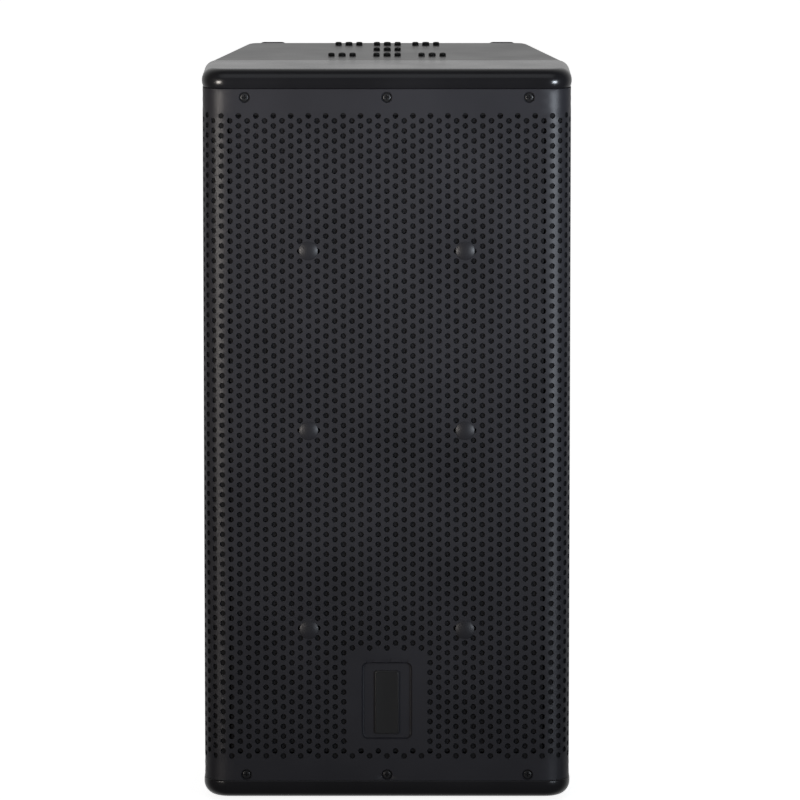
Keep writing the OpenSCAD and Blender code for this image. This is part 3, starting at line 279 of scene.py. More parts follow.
# Each level is a height, the skin's inset there and the grille seat's inset.
levels = [(low_z + h, s, 0) for h, s in rounded_edge(bottom_round)]
levels += [(low_z + bottom_round + 0.6, 0, 0), (seat_low - 1.2, 0, 0), (seat_low - 0.7, 0.1, 0),
           (seat_low - 0.2, 0.5, 0), (seat_low, grille_inset, grille_inset)]
levels += [(z, grille_inset, grille_seat)
           for z in (seat_low + 0.01, mouth_low, mouth_high, seat_high - 0.16)]
levels += [(seat_high - 0.15, grille_inset, grille_inset), (seat_high, 1.6, 1.6),
           (seat_high + 0.4, 1.3, 1.3), (high_z - 16.5, 0.55, 0), (high_z - 14.5, 0.12, 0),
           (high_z - top_round - 0.6, 0, 0)]
levels += [(high_z - h, s, 0) for h, s in reversed(rounded_edge(top_round))]
skin = np.concatenate([lifted(frame_outline(inset, seat), z) for z, inset, seat in levels])
rows, cols = len(levels), len(skin) // len(levels)
# The quad across the middle of the mouth's row is left out; its corners are the mouth's.
mouth = [z for z, _, _ in levels].index(mouth_low) * cols + cols // 2 - 1
quads = strip_quads(rows, cols)
quads = quads[quads[:, 0] != mouth]
corner = [mouth, mouth + 1, mouth + cols + 1, mouth + cols]
inner = []
for x, z0, z1, y in ((frame_mouth, mouth_low, mouth_high, shoulder),
                     (hollow, hollow_low, hollow_high, shoulder),
                     (hollow, hollow_low, hollow_high, seam_y)):
    inner += [[-x, y, z0], [x, y, z0], [x, y, z1], [-x, y, z1]]
first = len(skin)
loops = [corner] + [[first + 4 * k + j for j in range(4)] for k in range(3)]
faces = quads.tolist()
for near, far in zip(loops[:-1], loops[1:]):
    faces += [[near[j], near[(j + 1) % 4], far[(j + 1) % 4], far[j]] for j in range(4)]
ends = loops[-1]
top = (rows - 1) * cols
faces.append(list(range(0, rows * cols, cols)) + [ends[3], ends[0]])
faces.append(list(range(rows * cols - 1, 0, -cols)) + [ends[1], ends[2]])
faces.append([top, top + cols - 1, ends[2], ends[3]])
faces.append([cols - 1, 0, ends[0], ends[1]])
faces += mirrored_caps(rows, cols)
moulded_black = finish("moulded black", (0.011, 0.0108, 0.0125), 0.22, 0.35, 0.003, cells=0.5)
matt_black = finish("unpolished seat", (0.01, 0.01, 0.011), 0.75, 0.5, 0.01, cells=0.6, gloss=0.15)
front_frame = add_piece("front_frame_moulding", np.concatenate([skin, inner]), faces,
                        moulded_black, "frame_plastic", stands_for=["front_frame"])
front_frame.data.materials.append(matt_black)
middles = np.empty(3 * len(front_frame.data.polygons), np.float32)
front_frame.data.polygons.foreach_get("center", middles)
_, y, z = middles.reshape(-1, 3).T * 1000
behind_sheet = (seat_low < z) & (z < seat_high) & (y < front_y + rail_depth - 0.2)
front_frame.data.polygons.foreach_set("material_index", behind_sheet.astype(np.int32))

# ---------- plywood box ----------
# Five panels glued and rounded over as one tapered box, then sprayed with a fine
# pebbled black paint. The hand cups, the input plate and the pole socket sit in cut-outs.

taper_deg = 8.25
taper = math.radians(taper_deg)
rear_corner_r = 20.0
panel_t = 15.0
slant_t = panel_t / math.cos(taper)
box_half = half_w - grille_inset
handle_y, handle_z = front_y + 245, low_z + 400
handle_l, handle_h, handle_deep, handle_corner = 150.0, 84.0, 42.0, 14.0
input_z = low_z + 330
input_w, input_h, input_deep, input_corner = 150.0, 90.0, 25.0, 8.0
pole_y = front_y + 180
pole_hole_r = 21.2


def side_at(y):
    """Outer half width of the tapered box at y."""
    return box_half - (y - seam_y) * math.tan(taper)


def block(low, high):
    """Eight corners and six faces of a straight-sided block."""
    (x0, y0, z0), (x1, y1, z1) = low, high
    points = [[x, y, z] for z in (z0, z1) for x, y in ((x0, y0), (x1, y0), (x1, y1), (x0, y1))]
    return points, [[3, 2, 1, 0], [4, 5, 6, 7], [0, 1, 5, 4], [1, 2, 6, 5], [2, 3, 7, 6],
                    [3, 0, 4, 7]]


def skinned(rings):
    """Skin through rings of as many points each, closed by the first and the last ring."""
    count = len(rings[0])
    faces = strip_quads(len(rings), count, closed=True).tolist()
    tail = (len(rings) - 1) * count
    return np.concatenate(rings), faces + [list(range(count))[::-1],
                                           list(range(tail, tail + count))]


def upright(plan, z0, z1):
    """Block that stands on a plan outline, from z0 up to z1."""
    return skinned([lifted(plan, z0), lifted(plan, z1)])


def post(x, y, radius, z0, z1, steps=48):
    """Upright round block."""
    return upright(round_ring(x, y, radius, steps), z0, z1)


def machined(piece, operation, tools, crease=32):
    """Keeps or takes away what the tools cover, then throws the tools away."""
    for points, faces in tools:
        tool = loose_mesh("tool", points, faces)
        cut = piece.modifiers.new("cut", "BOOLEAN")
        cut.object, cut.operation, cut.solver = tool, operation, "EXACT"
        shaped = bpy.data.meshes.new_from_object(
            piece.evaluated_get(bpy.context.evaluated_depsgraph_get()))
        piece.modifiers.clear()
        piece.data = shaped
        bpy.data.objects.remove(tool)
    piece.data.shade_smooth()
    piece.data.set_sharp_from_angle(angle=math.radians(crease))
    return piece


def box_shape():
    """Tapered box: its plan outline carried up through the rounded bottom and top edges."""
    stack = [(low_z + h, s) for h, s in rounded_edge(bottom_round)]
    stack += [(low_z + bottom_round + 0.6, 0), (high_z - top_round - 0.6, 0)]
    stack += [(high_z - h, s) for h, s in reversed(rounded_edge(top_round))]
    cy = back_y - rear_corner_r
    cx = side_at(cy) - rear_corner_r / math.cos(taper)
    around = []
    for height, inset in stack:
        slant = inset / math.cos(taper)
        bend = arc_points(cx, cy, rear_corner_r - inset, taper_deg, 90, 20)
        half = np.concatenate([[[box_half - slant, seam_y]], bend, [[cx - 0.6, back_y - inset]]])
        around.append(lifted(np.concatenate([half, half[::-1] * [-1, 1]]), height))
    faces = strip_quads(len(stack), len(around[0]), closed=True).tolist()
    return np.concatenate(around), faces + mirrored_caps(len(stack), len(around[0]))


def rounded_rect(w, h, r, steps=8):
    """Rectangle with rounded corners, anticlockwise from its right side."""
    return np.concatenate([arc_points(sx * (w / 2 - r), sy * (h / 2 - r), r, a, a + 90, steps)
                           for sx, sy, a in ((1, 1, 0), (-1, 1, 90), (-1, -1, 180), (1, -1, 270))])


def turned_out(faces, keep):
    """Face list, each face reversed unless keep."""
    return faces if keep else [list(f)[::-1] for f in faces]


def on_side(shape, side, shift=(0, 0, 0)):
    """Local shape on a slanted side panel: x to the back, y up, z out of the side."""
    x, y, z = (np.asarray(shape[0], float) + shift).T
    out = np.column_stack([side_at(handle_y) - x * math.sin(taper) + z * math.cos(taper),
                           handle_y + x * math.cos(taper) + z * math.sin(taper), handle_z + y])
    return out * [side, 1, 1], turned_out(shape[1], side > 0)


def on_back(shape, shift=(0, 0, 0), height=input_z):
    """Local shape on the back panel: x to the right, y up from height, z out of the back."""
    x, y, z = (np.asarray(shape[0], float) + shift).T
    return np.column_stack([x, back_y + z, height + y]), turned_out(shape[1], False)


def cup_cut(w, h, r):
    """Block for a cup's cut-out through a panel, in the panel's own directions."""
    return upright(rounded_rect(w + 7, h + 7, r + 3), -panel_t - 2, 2)


# The blocks that part the box into its panels reach this far past its skin.
spare, back_spare = 9, 5
wall_low, wall_high = low_z + panel_t, high_z - panel_t
block_half, block_back = 190, back_y + spare
seam_inner = box_half - slant_t
past_inner = side_at(back_y + back_spare) - slant_t
back_inner = side_at(back_y - panel_t) - slant_t
side_plan = [[seam_inner, seam_y], [half_w + spare, seam_y],
             [half_w + spare, back_y + back_spare], [past_inner, back_y + back_spare]]
back_plan = [[-back_inner, back_y - panel_t], [back_inner, back_y - panel_t],
             [past_inner, back_y + back_spare], [-past_inner, back_y + back_spare]]
textured_black = finish("textured black paint", (0.024, 0.0215, 0.0225), 0.33, 1.1, 0.01,
                        mottle=0.18, cells=1.2)
box_points, box_faces = box_shape()
handle_cut = cup_cut(handle_l, handle_h, handle_corner)
cuts = {"side_panel_right": [on_side(handle_cut, 1)],
        "side_panel_left": [on_side(handle_cut, -1)],
        "back_panel": [on_back(cup_cut(input_w, input_h, input_corner))],
        "bottom_panel": [post(0, pole_y, pole_hole_r, low_z - spare, wall_low + spare, 96)]}
for node, kept in {
        "top_panel": block((-block_half, seam_y, wall_high),
                           (block_half, block_back, high_z + spare)),
        "bottom_panel": block((-block_half, seam_y, low_z - spare),
                              (block_half, block_back, wall_low)),
        "side_panel_right": upright(side_plan, wall_low, wall_high),
        "side_panel_left": upright(np.array(side_plan)[::-1] * [-1, 1], wall_low, wall_high),
        "back_panel": upright(back_plan, wall_low, wall_high)}.items():
    panel = add_piece(node + "_painted", box_points, box_faces, textured_black, "box_paint",
                      stands_for=[node])
    machined(panel, "INTERSECT", [kept])
    machined(panel, "DIFFERENCE", cuts.get(node, []))

# ---------- perforated grille ----------
# One steel sheet, punched in staggered rows, bent round both front corners and powder
# coated. Six screw dimples and the badge's tray are pressed into it.

pitch = 10.05
column = pitch * math.sqrt(3) / 2
cell_r = pitch / math.sqrt(3)
hole_r = 2.95
open_columns, open_rows = 23, 64
top_hole_z = high_z - 46.3
sheet_t = 1.5
edge_gap = 0.3
sheet_low, sheet_high = seat_low + edge_gap, seat_high - edge_gap
flat_half = half_w - corner_r
bend_r = corner_r - grille_inset
bend_length = bend_r * math.pi / 2
return_depth = 46
sheet_half = flat_half + bend_length + return_depth - corner_r
screw_spots = [(x, z) for z in (low_z + 24.1, high_z - 27.8) for x in (-142, 0, 142)]
dimple_r, dimple_deep, screw_hole_r = 5.65, 3.0, 2.4
tray_z = low_z + 100
tray_half_w, tray_half_h, tray_corner, tray_deep = 25.6, 39.6, 6.6, 3.5


def rounded_gap(x, z, half_x, half_z, r):
    """Signed distance to a rounded rectangle's edge, negative inside."""
    qx, qz = np.abs(x) - half_x + r, np.abs(z) - half_z + r
    outside = np.hypot(np.maximum(qx, 0), np.maximum(qz, 0))
    return outside + np.minimum(np.maximum(qx, qz), 0) - r


def eased(t):
    """Smooth step from 0 to 1."""
    t = np.clip(t, 0, 1)
    return t * t * (3 - 2 * t)


def pressed_depth(s, z):
    """How far the sheet is pressed in: screw dimples and the tray."""
    gap = rounded_gap(s, z - tray_z, tray_half_w, tray_half_h, tray_corner)
    deep = tray_deep * eased(-gap / 1.9)
    for x, zc in screw_spots:
        dimple = dimple_deep * eased((dimple_r - np.hypot(s - x, z - zc)) / 1.3)
        deep = np.maximum(deep, dimple)
    return deep


def bent_sheet(s, z, inward):
    """Flat sheet rolled round the corners: s is the distance from the middle, along the sheet."""
    past = np.abs(s) - flat_half
    turn = np.clip(past, 0, bend_length) / bend_r
    reach = np.maximum(past - bend_length, 0)
    x = np.minimum(np.abs(s), flat_half) + (bend_r - inward) * np.sin(turn)
    y = front_y + corner_r - (bend_r - inward) * np.cos(turn) + reach
    return np.column_stack([np.sign(s) * x, y, z])


# Hexagonal cells, one round each hole's centre, in columns from left to right.
hexagon = round_ring(0, 0, cell_r, 6)
punch = round_ring(0, 0, hole_r, 12)
k, i = np.meshgrid(np.arange(-25, 26), np.arange(-3, 69), indexing="ij")
s, z = k * column, top_hole_z - np.where(k % 2, 0, pitch / 2) - i * pitch
on_sheet = (z > sheet_low - 5) & (z < sheet_high + 5)
open_cell = ((np.abs(k) <= open_columns) & (0 <= i) & (i <= open_rows))[on_sheet]
s, z = s[on_sheet], z[on_sheet]
cells = np.column_stack([s, z])
badge_half_w, badge_low, badge_high = 36, low_z + 51, low_z + 154
near_badge = np.abs(s) < badge_half_w
open_cell &= ~(near_badge & (z > badge_low) & (z < badge_high))
remade = near_badge & (np.abs(z - tray_z) < 43)
for x, zc in screw_spots:
    remade |= np.hypot(s - x, z - zc) < 11.5
remade &= ~open_cell


def held_in(flat):
    """Points of the flat sheet, held inside its straight edges."""
    return np.column_stack([np.clip(flat[..., 0].ravel(), -sheet_half, sheet_half),
                            np.clip(flat[..., 1].ravel(), sheet_low, sheet_high)])


# An open cell is a fan of triangles between its hexagon and its hole, a shut one two quads.
fan = []
for a in range(6):
    b, h = (a + 1) % 6, 6 + 2 * a
    fan += [[h, h + 1, a], [h + 1, b, a], [h + 1, 6 + (2 * a + 2) % 12, b]]
flat_points, flat_faces, count = [], [], 0
for mask, template, shape in (
        (open_cell, np.concatenate([hexagon, punch]), np.array(fan)),
        (~open_cell & ~remade, hexagon, np.array([[0, 1, 2, 3], [0, 3, 4, 5]]))):
    centres = cells[mask][:, None]
    flat_points.append(held_in(centres + template))
    base = count + np.arange(len(centres))[:, None, None] * len(template)
    flat_faces += (base + shape[None]).reshape(-1, shape.shape[1]).tolist()
    count += len(centres) * len(template)

# Round the tray and the dimples the cells are triangulated again along the pressed edges.
patch = cells[remade][:, None] + hexagon
ring_points = [held_in(patch)]
edges = [[6 * c + e, 6 * c + (e + 1) % 6] for c in range(len(patch)) for e in range(6)]
start = 6 * len(patch)
rings = [rounded_rect(2 * (tray_half_w + d), 2 * (tray_half_h + d), tray_corner + d, 6)
         + [0, tray_z] for d in (0.8, 0, -0.4, -0.8, -1.2, -1.6, -1.95, -2.8)]
rings += [round_ring(x, zc, r, 32) for x, zc in screw_spots
          for r in (5.68, 5.4, 5.15, 4.9, 4.65, 4.3, 3.4, screw_hole_r)]
for ring in rings:
    ring_points.append(ring)
    edges += [[start + j, start + (j + 1) % len(ring)] for j in range(len(ring))]
    start += len(ring)
loose = np.concatenate(ring_points)
keys, where = np.unique(np.round(loose, 3), axis=0, return_inverse=True)
where = where.ravel()
edges = np.unique(np.sort(where[np.array(edges)], axis=1), axis=0)
edges = edges[edges[:, 0] != edges[:, 1]]
made = geometry.delaunay_2d_cdt([Vector(p) for p in keys.tolist()], edges.tolist(), [], 0, 1e-5,
                                False)
patch_points = np.array([list(p) for p in made[0]])
triangles = np.array(made[2])
middle = patch_points[triangles].mean(1)
gap = np.hypot(middle[:, None, 0] - s[None], middle[:, None, 1] - z[None])
owned = remade[np.argmin(gap, 1)]
for x, zc in screw_spots:
    owned &= np.hypot(middle[:, 0] - x, middle[:, 1] - zc) > screw_hole_r - 0.01
owned &= (middle[:, 1] > sheet_low) & (middle[:, 1] < sheet_high)
flat_points.append(patch_points)
flat_faces += (count + triangles[owned]).tolist()

flat, merged = np.unique(np.round(np.concatenate(flat_points), 3), axis=0, return_inverse=True)
merged = merged.ravel()
flat_faces = [merged[f].tolist() for f in flat_faces]
flat_faces = [[v for j, v in enumerate(f) if v != f[j - 1]] for f in flat_faces]
flat_faces = [f for f in flat_faces if len(set(f)) > 2]


def facing_front(f):
    """Face order whose corners turn anticlockwise when seen from the front."""
    x, y = flat[f, 0], flat[f, 1]
    area = np.sum(x * np.roll(y, -1) - np.roll(x, -1) * y)
    return (f if area > 0 else f[::-1]) if abs(area) > 1e-4 else None


flat_faces = [f for f in map(facing_front, flat_faces) if f]
depth = pressed_depth(flat[:, 0], flat[:, 1])


def sheet_surface(extra):
    """Pressed and bent sheet, extra millimetres behind its outer face."""
    points = bent_sheet(flat[:, 0], flat[:, 1], extra)
    points[:, 1] += depth
    return points


total = len(flat)
forward = {(f[j], f[(j + 1) % len(f)]) for f in flat_faces for j in range(len(f))}
rims = sorted((a, b) for a, b in forward if (b, a) not in forward)
walls = [[b, a, a + total, b + total] for a, b in rims]
backs = [[v + total for v in f[::-1]] for f in flat_faces]
powder_coat = finish("grille powder coat", (0.021, 0.0208, 0.0257), 0.46, 0.5, 0.012,
                     mottle=0.15, cells=0.6, gloss=0.36)
add_piece("grille_sheet", np.concatenate([sheet_surface(0), sheet_surface(sheet_t)]),
          flat_faces + backs + walls, powder_coat, "grille_paint", stands_for=["grille"], crease=40)

# ---------- foam and rivets of the grille ----------
# Open-cell foam sheet against the back of the grille, clamped by three steel bars whose
# dome-headed rivets pass through the grille.

rivet_spots = [(x, low_z + h) for h in (172.5, 374.8, 556.3) for x in (-78.5, 78.5)]


def ripple(a, b, size, seed):
    """Soft random relief: a sum of sine waves of that wavelength in scattered directions."""
    draw = np.random.default_rng(seed)
    relief = np.zeros(np.broadcast(a, b).shape)
    for turn, shift, stretch in zip(draw.uniform(0, 6.28, 9), draw.uniform(0, 6.28, 9),
                                    draw.uniform(0.6, 1.7, 9)):
        relief += np.sin((a * math.cos(turn) + b * math.sin(turn)) * 6.28 / size * stretch + shift)
    return relief / 9


def joined_grids(front, back):
    """Points and faces of two grids, x, y and z each, joined round the edge; and the edge."""
    rows, cols = front[0].shape
    points = np.concatenate([np.stack(grid, 2).reshape(-1, 3) for grid in (front, back)])
    near = strip_quads(rows, cols)
    index = np.arange(rows * cols).reshape(rows, cols)
    rim = np.concatenate([index[0, :-1], index[:-1, -1], index[-1, :0:-1], index[:0:-1, 0]])
    ahead = np.roll(rim, -1)
    side = np.stack([ahead, rim, rim + rows * cols, ahead + rows * cols], 1)
    return points, np.concatenate([near, near[:, ::-1] + rows * cols, side]).tolist(), rim


def foam_sheet():
    """Front and back grids joined round the edge; the front dips round the tray and rivets."""
    half_x, half_z = frame_mouth - 0.4, (mouth_high - mouth_low) / 2 - 0.4
    mid_z = (mouth_low + mouth_high) / 2
    u = np.concatenate([[-1, -0.998, -0.993], np.linspace(-0.985, 0.985, 78), [0.993, 0.998, 1]])
    v = np.concatenate([[-1, -0.999, -0.996], np.linspace(-0.99, 0.99, 150), [0.996, 0.999, 1]])
    x, z = np.meshgrid(u * half_x, mid_z + v * half_z)
    edge = np.minimum(half_x - np.abs(x), half_z - np.abs(z - mid_z))
    edge_r, front_depth, back_depth = 2.2, 2.65, 9.4
    roll = edge_r * (1 - np.sqrt(np.clip(1 - (1 - np.clip(edge / edge_r, 0, 1)) ** 2, 0, 1)))
    front = front_depth + roll + 0.22 * (1 + ripple(x, z, 17, 3))
    front = np.maximum(front, 6.0 * eased(-rounded_gap(x, z - tray_z, 28, 42, 9) / 2 + 0.5))
    for cx, cz in rivet_spots:
        front += 1.2 * eased((6 - np.hypot(x - cx, z - cz)) / 3)
    return joined_grids((x, front_y + front, z), (x, front_y + (back_depth - roll), z))[:2]


foam_black = finish("acoustic foam", (0.015, 0.015, 0.0165), 0.95, 1.4, 0.5, mottle=0.4,
                    cells=1.5, gloss=0.1)
foam = add_piece("grille_foam_sheet", *foam_sheet(), foam_black, "foam", stands_for=["grille_foam"])


def lathe(profile, steps=48):
    """Profile of radius and height pairs, from the bottom of the z axis to its top, turned once."""
    profile = np.asarray(profile, float)
    ring = profile[1:-1]
    turn = np.linspace(0, 2 * np.pi, steps, endpoint=False)
    points = np.stack([ring[:, :1] * np.cos(turn), ring[:, :1] * np.sin(turn),
                       np.repeat(ring[:, 1:], steps, 1)], 2).reshape(-1, 3)
    points = np.concatenate([points, [[0, 0, profile[0, 1]], [0, 0, profile[-1, 1]]]])
    faces = strip_quads(len(ring), steps, closed=True).tolist()
    first, last = len(points) - 2, len(points) - 1
    tail = (len(ring) - 1) * steps
    faces += [[first, (j + 1) % steps, j] for j in range(steps)]
    faces += [[last, tail + j, tail + (j + 1) % steps] for j in range(steps)]
    return points, faces


def stood(points, origin, way):
    """Local points with z out, placed at origin and turned so that z runs the named way."""
    x, y, z = np.asarray(points, float).T
    turned = {"up": (x, y, z), "down": (x, -y, -z), "front": (x, -z, y), "back": (-x, z, y)}[way]
    return np.column_stack(turned) + origin


def repeated(shape, places, way):
    """The same shape stood at each place."""
    return [(stood(shape[0], place, way), shape[1]) for place in places]


def gathered(shapes):
    """Several point and face lists as one."""
    points, faces, count = [], [], 0
    for p, f in shapes:
        points.append(np.asarray(p, float))
        faces += [[v + count for v in face] for face in f]
        count += len(p)
    return np.concatenate(points), faces


dome = [[0, -13.1], [5.0, -13.1], [5.0, -11.6], [2.9, -11.6], [2.9, 0.0], [9.5, 0.0], [9.5, 0.15]]
dome += [[9.3 * t, 2.0 - 1.7 * t ** 2.2] for t in np.linspace(1, 0.03, 14)] + [[0, 2.0]]
rivets = gathered(repeated(lathe(dome), [(x, front_y + grille_inset, z) for x, z in rivet_spots],
                           "front"))
rivet_black = finish("rivet coat", (0.02, 0.0198, 0.0235), 0.42, 0.5, 0.008, mottle=0.15,
                     cells=0.4, gloss=0.34)
add_piece("grille_rivet_set", *rivets, rivet_black, "rivet_paint", stands_for=["grille_rivets"])

# ---------- screws ----------
# Black zinc pan heads with a cross recess on the grille, handles, back and underside;
# the fly points have socket bolts in the middle of each row of three.


def pan_head(head_r, head_h, shank_r, length, socket=False):
    """Domed head over a shank: a turned profile whose top is pressed in by the recess."""
    share = np.array([0.05, 0.13, 0.2, 0.27, 0.34, 0.4, 0.46, 0.52, 0.6, 0.7, 0.8, 0.88, 0.94,
                      0.98, 1.0])
    crown = 1 - 0.16 * share ** 2 - 0.24 * np.clip((share - 0.8) / 0.2, 0, 1) ** 2
    radius = np.concatenate([[0], share * head_r, [head_r, shank_r, shank_r, 0]])
    height = np.concatenate([[head_h], crown * head_h, [0, 0, -length, -length]])
    points, faces = lathe(np.column_stack([radius, height])[::-1], 36)
    x, y, z = points.T
    if socket:
        turn = (np.arctan2(y, x) % (np.pi / 3)) - np.pi / 6
        reach = 0.5 * head_r - np.hypot(x, y) * np.cos(turn)
    else:
        arm = np.minimum(np.abs(x), np.abs(y))
        reach = np.minimum(0.13 * head_r - arm, 0.56 * head_r - np.hypot(x, y))
    sunk = 0.6 * head_h * eased(reach / (0.08 * head_r) + 0.6)
    points[:, 2] -= np.where(z > 0.5 * head_h, sunk, 0)
    return points, faces


black_zinc = finish("black zinc", (0.013, 0.013, 0.0145), 0.33, 0.4, 0.004, mottle=0.3, gloss=0.7)


def screw_set(name, shapes, node, coat=black_zinc):
    """One piece of all the screws that stand for a node."""
    add_piece(name, *gathered(shapes), coat, "screw_black", stands_for=[node])


dimple_y = front_y + grille_inset + dimple_deep
screw_set("grille_screw_set", repeated(pan_head(4.0, 2.2, 2.2, 18),
                                       [(x, dimple_y, z) for x, z in screw_spots], "front"),
          "grille_screws")

fly_spots = [(x, front_y + y) for x, y in ((-46, 169.6), (0, 169.6), (46, 169.6), (0, 240.4),
                                           (-40, 310), (0, 310), (40, 310))]
fly_screw_x = 10.8
fly_zinc = finish("fly bolt zinc", (0.02, 0.02, 0.0215), 0.35, 0.4, 0.004, mottle=0.3, gloss=0.7)
screw_set("fly_bolt_set", repeated(pan_head(3.8, 3.5, 3.0, 22, socket=True),
                                   [(x, y, high_z) for x, y in fly_spots], "up"),
          "fly_bolts", fly_zinc)
screw_set("fly_screw_set", repeated(pan_head(3.4, 3.5, 1.9, 20),
                                    [(x + s * fly_screw_x, y, high_z)
                                     for x, y in fly_spots for s in (-1, 1)], "up"),
          "fly_screws")

panel_pan = pan_head(3.6, 2.0, 1.9, 12)
handle_flange_t = 2.5
screw_set("handle_screw_set", [on_side(panel_pan, side, (x, y, handle_flange_t))
                               for side in (-1, 1) for x in (-86, 86) for y in (-28, 28)],
          "handle_screws")

plate_t, bumper_seat = 3, 5
bumper_spots = [(x, z) for x in (-120, 120) for z in (low_z + 17.3, high_z - 17.3)]
plate_spots = [(x, back_y + plate_t, input_z + z) for x in (-84, 0, 84) for z in (-54, 54)]
screw_set("rear_screw_set", repeated(panel_pan, plate_spots, "back")
          + repeated(pan_head(3.6, 2.0, 1.9, 17),
                     [(x, back_y + bumper_seat, z) for x, z in bumper_spots], "back"),
          "rear_screws")

foot_spots = [(s * x, front_y + y) for s in (-1, 1) for x, y in ((130, 60), (110, 305))]
pole_ring_r = 36
pole_spots = [(pole_ring_r * math.cos(a), pole_y + pole_ring_r * math.sin(a))
              for a in np.radians((45, 135, 225, 315))]
pole_seat, foot_seat = 2.8, 2.5
pole_pan, foot_pan = pan_head(3.6, 1.6, 1.9, 12), pan_head(4.0, 1.8, 2.2, 13)
screw_set("underside_screw_set",
          repeated(pole_pan, [(x, y, pole_seat) for x, y in pole_spots], "down")
          + repeated(foot_pan, [(x, y, foot_seat) for x, y in foot_spots], "down"),
          "underside_screws")

# ---------- badge plate ----------
# Blank anodised plate with a chamfered rim, stuck to the floor of the grille's tray.


def nested(loops, steps=8):
    """Closed skin through nested rounded rectangles, each width, height, corner and z."""
    rings = [rounded_rect(w, h, r, steps) for w, h, r, _ in loops]
    return skinned([lifted(ring, loop[3]) for ring, loop in zip(rings, loops)])


points, faces = nested([(24, 65, 2.5, 0), (24, 65, 2.5, 1.7), (23.6, 64.6, 2.3, 2.05),
                        (22.8, 63.8, 1.9, 2.35), (22.4, 63.4, 1.7, 2.4), (21.2, 62.2, 1.2, 2.4),
                        (20.8, 61.8, 1.0, 2.15), (20.2, 61.2, 0.8, 2.1)])
badge_dark = finish("anodised badge", (0.018, 0.018, 0.0185), 0.32, 0.25, 0.003, mottle=0.12,
                    gloss=0.6, streak=(1, 1, 0.08))
tray_floor = front_y + grille_inset + tray_deep
add_piece("badge_blank", stood(points, (0, tray_floor, tray_z - 2), "front"), faces, badge_dark,
          "badge", stands_for=["badge_plate"])

# ---------- side handles ----------
# Deep dishes moulded in black nylon, screwed over cut-outs in the sides, each with a
# ribbed soft sleeve over a bar across its mouth.


def quarter(radius, steps=6):
    """Across and up pairs of a quarter round, from 0, 0 to radius, radius."""
    turn = np.linspace(0, np.pi / 2, steps + 1)
    return [(radius * (1 - math.cos(a)), radius * math.sin(a)) for a in turn]


def dish(w, h, r, deep, lip, flange_w, flange_h, flange_r, flange_t, wall):
    """Loops from the dish's inner floor, up its wall, over the flange and down its outside."""
    floor_r, rim_r, rim_in = 8, 1.2, 1.7
    out_w, out_h, out_r = w + 2 * wall, h + 2 * wall, r + wall
    loops = [(w - 30, h - 30, max(2, r - 12), -deep + 0.6),
             (w - 20, h - 20, max(2, r - 8), -deep + 0.15)]
    loops += [(w - 2 * (floor_r - b), h - 2 * (floor_r - b), max(1.5, r - 6 + 6 * b / floor_r),
               -deep + a) for a, b in quarter(floor_r)]
    loops += [(w, h, r, -lip - 0.5), (w, h, r, flange_t - lip)]
    loops += [(w + 2 * a, h + 2 * a, r + a, flange_t - lip + b) for a, b in quarter(lip)[1:]]
    loops += [(flange_w - 2 * rim_in, flange_h - 2 * rim_in, flange_r - rim_in, flange_t)]
    loops += [(flange_w - 2 * a, flange_h - 2 * a, flange_r - a, flange_t - rim_r + b)
              for a, b in quarter(rim_r)[::-1]]
    loops += [(flange_w, flange_h, flange_r, 0), (out_w, out_h, out_r, 0),
              (out_w, out_h, out_r, -deep - wall + 3),
              (out_w - 3, out_h - 3, out_r - 1.5, -deep - wall)]
    points, faces = nested(loops)
    return points, turned_out(faces, False)


handle_black = finish("handle nylon", (0.014, 0.014, 0.015), 0.48, 0.8, 0.02, mottle=0.2, cells=1.0)
sleeve_black = finish("grip sleeve", (0.012, 0.012, 0.0125), 0.62, 0.5, 0.012, mottle=0.25,
                      cells=0.6, gloss=0.35)
cup_wall = 3
cup = dish(handle_l, handle_h, handle_corner, handle_deep, 2.2, 192, 110, 18, handle_flange_t,
           cup_wall)
# The sleeve's girth swells and narrows every rib_pitch along its run.
rib_pitch, sleeve_r, sleeve_in = 4, 8.55, 10
run = np.concatenate([[-75, -75, -74.4, -72], np.linspace(-68, 68, 341), [72, 74.4, 75, 75]])
ribs = sleeve_r + 0.42 * np.cos(run * 2 * np.pi / rib_pitch)
girth = np.where(np.abs(run) < 66, ribs, 8.35)
girth[[0, -1]] = 0
girth[[1, 2, -3, -2]] = [7.9, 8.3, 8.3, 7.9]
points, faces = lathe(np.column_stack([girth, run]), 40)
sleeve = np.column_stack([points[:, 2], points[:, 1], -sleeve_in - points[:, 0]]), faces
for side, word in ((-1, "left"), (1, "right")):
    add_piece("handle_dish_" + word, *on_side(cup, side), handle_black, "handle_plastic",
              stands_for=["handle_" + word])
    add_piece("grip_sleeve_" + word, *on_side(sleeve, side), sleeve_black, "grip_rubber",
              stands_for=["grip_bar_" + word])

# ---------- back plate, inlets and switch ----------
# Moulded polypropylene dish screwed over a cut-out in the back, with two twist-lock
# inlets of glass-filled nylon and a rocker switch on its floor.


def bored(name, shape, tools, coat, slot, stands_for=()):
    """A piece with its openings cut through."""
    return machined(add_piece(name, *shape, coat, slot, stands_for=stands_for), "DIFFERENCE", tools)


def spun(points, degrees):
    """Points turned round the z axis."""
    points = np.asarray(points, float)
    c, s = math.cos(math.radians(degrees)), math.sin(math.radians(degrees))
    x, y = points[:, 0], points[:, 1]
    return np.column_stack([x * c - y * s, x * s + y * c, points[:, 2:]])


